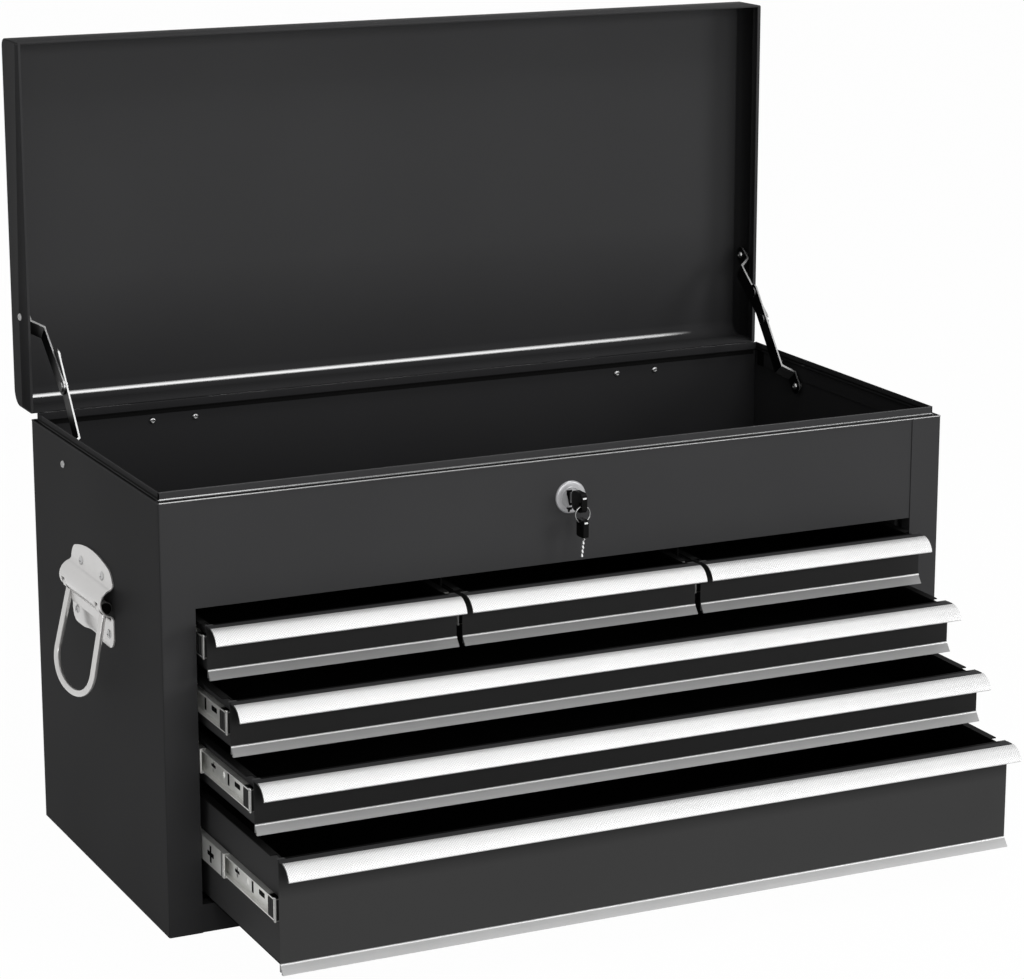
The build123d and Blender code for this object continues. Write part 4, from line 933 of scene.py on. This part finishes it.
hingeY, hingeZ = bodyHigh[1] + hinge["behind"], bodyHigh[2] + hinge["above"]
hingeRivet = rivetProfile(rivet, hinge["sheet"] + hinge["leaf"])
stayRivet = rivetProfile(rivet, stay["tabIn"] + stay["tab"] + stay["play"],
        (hinge["sheet"], stay["tabIn"] - stay["play"]))
wallRivets, lidRivets = [], []
for side, name in sides:
    for hand in (-1, 1):
        spot = (side * (bodyHigh[0] - hinge["inset"]) + hand * hinge["spacing"] / 2,
                bodyHigh[1] - hinge["sheet"], hingeZ - hinge["drop"])
        wallRivets.append(lathe(hingeRivet, spot, yAxis, rivet["turns"]))
    wall = side * bodyHigh[0]
    for group, spot in ((wallRivets, (wall, hingeY - stay["bodyForward"], hingeZ - stay["bodyBelow"])),
            (lidRivets, (wall, hingeY + stay["lidAbove"], hingeZ + stay["lidForward"]))):
        group.append(lathe(stayRivet, spot, (-side, 0, 0), rivet["turns"]))
for name, shapes, body, stands in (("wallRivetHeads", wallRivets, "chest", "wall_rivets"),
        ("lidRivetHeads", lidRivets, "lid", "stay_lid_rivets")):
    makePiece(name, solids(shapes), "rivetBright", body, [stands])

# lock face and key ring; profile: (r, depth) of the bore, raised lip, dished face, rounded edge and barrel
lock = dict(drop=28.3, recess=0.8, height=1.6, turns=56,
        profile=[(6.55, 20.0), (6.55, -1.5), (6.8, -1.75), (7.25, -1.75), (7.55, -1.45), (10.1, -1.55),
        (10.9, -1.35), (11.4, -0.85), (11.6, -0.4), (11.6, 0), (9.0, 0), (9.0, 20.0), (6.55, 20.0)])
keyRing = dict(steps=48, wireTurns=12)
spare = dict(width=3.0, gauge=1.1, teeth=5, cut=1.1, lean=0.11, sink=1.0, aside=0.8)
glint = dict(width=2.6, height=1.2, thick=0.12, keyDrop=3.3, spareDrop=1.7)
# painted shade: dark decals in the plug's keyway and in a notch of the lock face below it
keyway = dict(thick=0.05, depth=0.3,
        slot=[(-3.4, 5.2), (0.6, 5.2), (0.6, 2.0), (-0.4, 1.4), (0.9, -5.6), (-1.4, -5.8), (-2.9, 1.2),
        (-3.4, 2.0)],
        notchShade=[(-3.6, -6.9), (0.9, -6.9), (0.4, -8.6), (-1.0, -8.8), (-1.4, -10.4), (-2.6, -10.2),
        (-2.6, -8.4), (-3.6, -8.0)])
lockSpot = np.array([0, -bodyHigh[1] + lock["recess"], bodyHigh[2] - lock["drop"]])


def ringWire(s):
    low, high = boxMm("key_ring")
    wire = (high[1] - low[1]) / 2
    loop = arc((0, 0), (high[0] - low[0]) / 2 - wire, 0, 360, s["steps"] + 1)[:-1]
    return outwards(loopTube(loop, wire, (low + high) / 2, xAxis, zAxis, s["wireTurns"]))


def spareBlade(s):
    # cut edges as a zigzag on both sides, hung with a small lean
    low, high = boxMm("spare_key_blade")
    steps = np.linspace(high[2] + s["sink"], low[2], 2 * s["teeth"] + 1) - high[2]
    edge = s["width"] / 2 - np.where(np.arange(len(steps)) % 2, s["cut"], 0)
    outline = joined([np.stack([edge, steps], -1), np.stack([-edge, steps], -1)[::-1]])
    middle = ((low[0] + high[0]) / 2 + s["aside"], (low[1] + high[1]) / 2, high[2])
    half = s["gauge"] / 2
    return outwards(sweptBar(outline, -half, half, middle, yAxis, zAxis + s["lean"] * xAxis, xAxis))


def ringEdgeGlint(s, node, drop):
    # painted glint: bright plate on the front of a key's head, standing for the metal edge of the ring's hole
    low, high = boxMm(node)
    middle = np.array([(low[0] + high[0]) / 2, low[1], high[2] - drop])
    half = np.array([s["width"] / 2, s["thick"], s["height"] / 2])
    return plainBar(middle - half, middle + half)


makePiece("lockFace", outwards(lathe(lock["profile"], lockSpot, yAxis, lock["turns"])), "lockChrome", "chest",
          ["lock_housing"], sharp=40)
makePiece("keyRingWire", ringWire(keyRing), "ringSteel", "ring", ["key_ring"])
makePiece("spareBlade", spareBlade(spare), "keySteel", "spare_key", ["spare_key_blade"])
for node, body, drop in (("key_head", "key", glint["keyDrop"]),
        ("spare_key_head", "spare_key", glint["spareDrop"])):
    makePiece(body + "_ringEdge", ringEdgeGlint(glint, node, drop), "keySteel", body)
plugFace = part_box("lock_plug")[0].y / mm
for name, outline, face, body in (("keywayShade", keyway["slot"], plugFace, "lock_core"),
        ("lockNotchShade", keyway["notchShade"], lockSpot[1] - lock["height"], "chest")):
    shape = sweptBar(outline, face - keyway["depth"], face + keyway["thick"], (0, 0, lockSpot[2]),
            xAxis, zAxis, yAxis)
    makePiece(name, outwards(shape), "slotShade", body)
print("lock and rivets made")

# slides: ribbed plastic bumper in the cut front of each inner member, the pressed bump behind it, and a
# bent tab at the very front; bumpDome: (r, h) of the bump
bumper = dict(start=-0.15, end=12.4, half=7.5, thick=4.1, round=0.8, bevel=0.3, ribs=3, ribWidth=1.2,
        ribHeight=0.3, ribMargin=2.0, reach=4.2, web=0.8, bumpPlace=57.0, bumpTurns=20, tab=(-0.3, 2.8),
        tabThick=0.9, tabHalf=8.4,
        bumpDome=[(onAxis, 0.7), (1.0, 0.63), (2.0, 0.35), (2.8, 0), (onAxis, 0)])
# painted shade in the holes (place, length, height) punched in the members, as dark plates behind them, and
# the ends
# of the ball cages: a bright lip at the front of the middle member and a painted shade plate in the gap
# behind it
slots = dict(inner=((31.5, 10.0, 3.6), (48.0, 3.2, 10.0), (76.0, 8.0, 2.2)),
        cross=((25.0, 12.0, 3.2), (25.0, 3.2, 12.0)), round=0.8, thick=0.06, bevel=0.03,
        cage=(0.1, 3.4), cageGap=(3.4, 5.2), cageThick=0.2)


def sidePlate(side, spot, ends, half, thick, bevel, round, count=4):
    # plate with rounded corners that faces outwards, from end to end along the slide
    a, b = ends
    loop = roundedLoop([(a, -half), (b, -half), (b, half), (a, half)], round, count)
    return bevelledPlate(loop, thick, bevel, spot, yAxis, zAxis, (side, 0, 0))


def holeShade(s, side, spot, hole, thick):
    place, length, height = hole
    ends = (place - length / 2, place + length / 2)
    return sidePlate(side, spot, ends, height / 2, thick, s["bevel"], s["round"])


def bumperBlock(s, side, spot):
    # block with rounded corners and upright ribs on its outer face
    out, wide, high = side * xAxis, s["ribWidth"], s["ribHeight"]
    shapes = [sidePlate(side, spot, (s["start"], s["end"]), s["half"], s["thick"], s["bevel"], s["round"], 6)]
    for place in np.linspace(s["tab"][1] + wide, s["end"] - wide, s["ribs"]):
        shapes.append(sidePlate(side, spot + (s["thick"] - high) * out, (place - wide / 2, place + wide / 2),
                s["half"] - s["ribMargin"], 2 * high, high / 2, wide / 3))
    return shapes


def innerDetails(s, holes, drawer):
    low, high = boxMm(drawer + "_inner_slides")
    blocks, bumps, tabs, shades = [], [], [], []
    for side, name in sides:
        out = side * xAxis
        # tray side of the channel
        spot = np.array([(high[0] if side > 0 else low[0]) - side * s["reach"], low[1],
                (low[2] + high[2]) / 2])
        web = spot + s["web"] * out
        blocks += bumperBlock(s, side, spot)
        bumps.append(lathe(s["bumpDome"], web + s["bumpPlace"] * yAxis, out, s["bumpTurns"]))
        tabs.append(sidePlate(side, spot + (s["reach"] - s["tabThick"]) * out, s["tab"], s["tabHalf"],
                s["tabThick"], s["bevel"], s["round"], 5))
        shades += [holeShade(holes, side, web, hole, holes["thick"]) for hole in holes["inner"]]
    return blocks, bumps, tabs, shades


def middleDetails(s, drawer):
    low, high = boxMm(drawer + "_middle_slides")
    half, shades, cages = (high[2] - low[2]) / 2, [], []
    for side, name in sides:
        spot = np.array([high[0] if side > 0 else low[0], low[1], (low[2] + high[2]) / 2])
        for ends, thick, group in ((s["cage"], s["cageThick"], cages), (s["cageGap"], s["thick"], shades)):
            group.append(sidePlate(side, spot, ends, half, thick, s["bevel"], s["round"]))
        within = spot - side * s["thick"] * xAxis
        shades += [holeShade(s, side, within, hole, 2 * s["thick"]) for hole in s["cross"]]
    return shades, cages


for drawer in drawers:
    blocks, bumps, tabs, innerShades = innerDetails(bumper, slots, drawer)
    middleShades, cages = middleDetails(slots, drawer)
    middle = drawer + "_middle"
    for ending, shapes, finish, body, slotName in (
            ("_slideBumpers", blocks, "bumperPlastic", drawer, "key_plastic"),
            ("_slideBumps", bumps, "slideZinc", drawer, "zinc_steel"),
            ("_slideTabs", tabs, "tabBright", drawer, "zinc_steel"),
            ("_slotShades", innerShades, "slotShade", drawer, "key_plastic"),
            ("_crossShade", middleShades, "slotShade", middle, "key_plastic"),
            ("_cageEnds", cages, "tabBright", middle, "zinc_steel")):
        makePiece(drawer + ending, solids(shapes), finish, body)
print("slide details made")

# stage: pale floor, soft lamps and the camera of the photograph
stage = dict(floor=40.0, floorTone=0.9, glow=0.985, ambient=0.22)
lamps = {
    "strip": dict(place=(0.5, -0.54, 1.99), aim=(0.5, 0.1, 0.3), size=(1.0, 1.0), power=15),
    "front": dict(place=(0.05, -3.2, 0.95), size=(1.8, 1.5), power=46.5),
    "frontRight": dict(place=(1.9, -2.6, 0.95), size=(0.9, 0.9), power=25),
}
view = dict(azimuth=-25.47, elevation=14.17, distance=2.3946, lens=116.05, target=(0.0122, -0.016, 0.2504),
            sensor=36, far=50)


def rayMask(tree):
    # 1 for rays that should see the white surround: camera, mirror and glass rays
    rays = addNode(tree, "ShaderNodeLightPath").outputs
    kinds = ("Is Camera Ray", "Is Glossy Ray", "Is Transmission Ray")
    return chained(tree, "MAXIMUM", [rays[kind] for kind in kinds])


def makeFloor(s):
    half, tone = s["floor"] / 2, s["floorTone"]
    mesh = bpy.data.meshes.new("floor")
    corners = [(-half, -half, 0), (half, -half, 0), (half, half, 0), (-half, half, 0)]
    mesh.from_pydata(corners, [], [(0, 1, 2, 3)])
    material = bpy.data.materials.new("paleFloor")
    tree = freshTree(material)
    matt = addNode(tree, "ShaderNodeBsdfDiffuse", {"Color": (tone, tone, tone, 1)})
    glow = addNode(tree, "ShaderNodeEmission")
    share = times(tree, rayMask(tree), s["glow"])
    blend = addNode(tree, "ShaderNodeMixShader", {0: share, 1: matt.outputs[0], 2: glow.outputs[0]})
    addNode(tree, "ShaderNodeOutputMaterial", {"Surface": blend.outputs[0]})
    mesh.materials.append(material)
    floor = bpy.data.objects.new("floor", mesh)
    bpy.context.scene.collection.objects.link(floor)


def makeWorld(s):
    world = bpy.data.worlds.new("studio")
    bpy.context.scene.world = world
    tree = freshTree(world)
    level = ramped(tree, rayMask(tree), 0.0, 1.0, s["ambient"], 1.0)
    surround = addNode(tree, "ShaderNodeBackground", {"Color": (1, 1, 1, 1), "Strength": level})
    addNode(tree, "ShaderNodeOutputWorld", {"Surface": surround.outputs[0]})


def addHolder(name, data, place, ahead):
    # object at the place that looks ahead
    holder = bpy.data.objects.new(name, data)
    holder.location = place
    holder.rotation_euler = ahead.to_track_quat("-Z", "Y").to_euler()
    bpy.context.scene.collection.objects.link(holder)
    return holder


def makeLamp(name, s, target):
    lamp = bpy.data.lights.new(name, "AREA")
    lamp.shape = "RECTANGLE"
    lamp.size, lamp.size_y = s["size"]
    lamp.energy = s["power"]
    addHolder(name, lamp, s["place"], Vector(target) - Vector(s["place"]))


def makeCamera(s):
    az, el = math.radians(s["azimuth"]), math.radians(s["elevation"])
    away = Vector((math.sin(az) * math.cos(el), -math.cos(az) * math.cos(el), math.sin(el)))
    camera = bpy.data.cameras.new("camera")
    camera.lens, camera.sensor_width, camera.clip_end = s["lens"], s["sensor"], s["far"]
    place = Vector(s["target"]) + away * s["distance"]
    bpy.context.scene.camera = addHolder("camera", camera, place, -away)


makeFloor(stage)
makeWorld(stage)
for name, s in lamps.items():
    makeLamp(name, s, s.get("aim", view["target"]))
makeCamera(view)
bpy.context.scene.view_settings.view_transform = "Standard"
print("stage set")
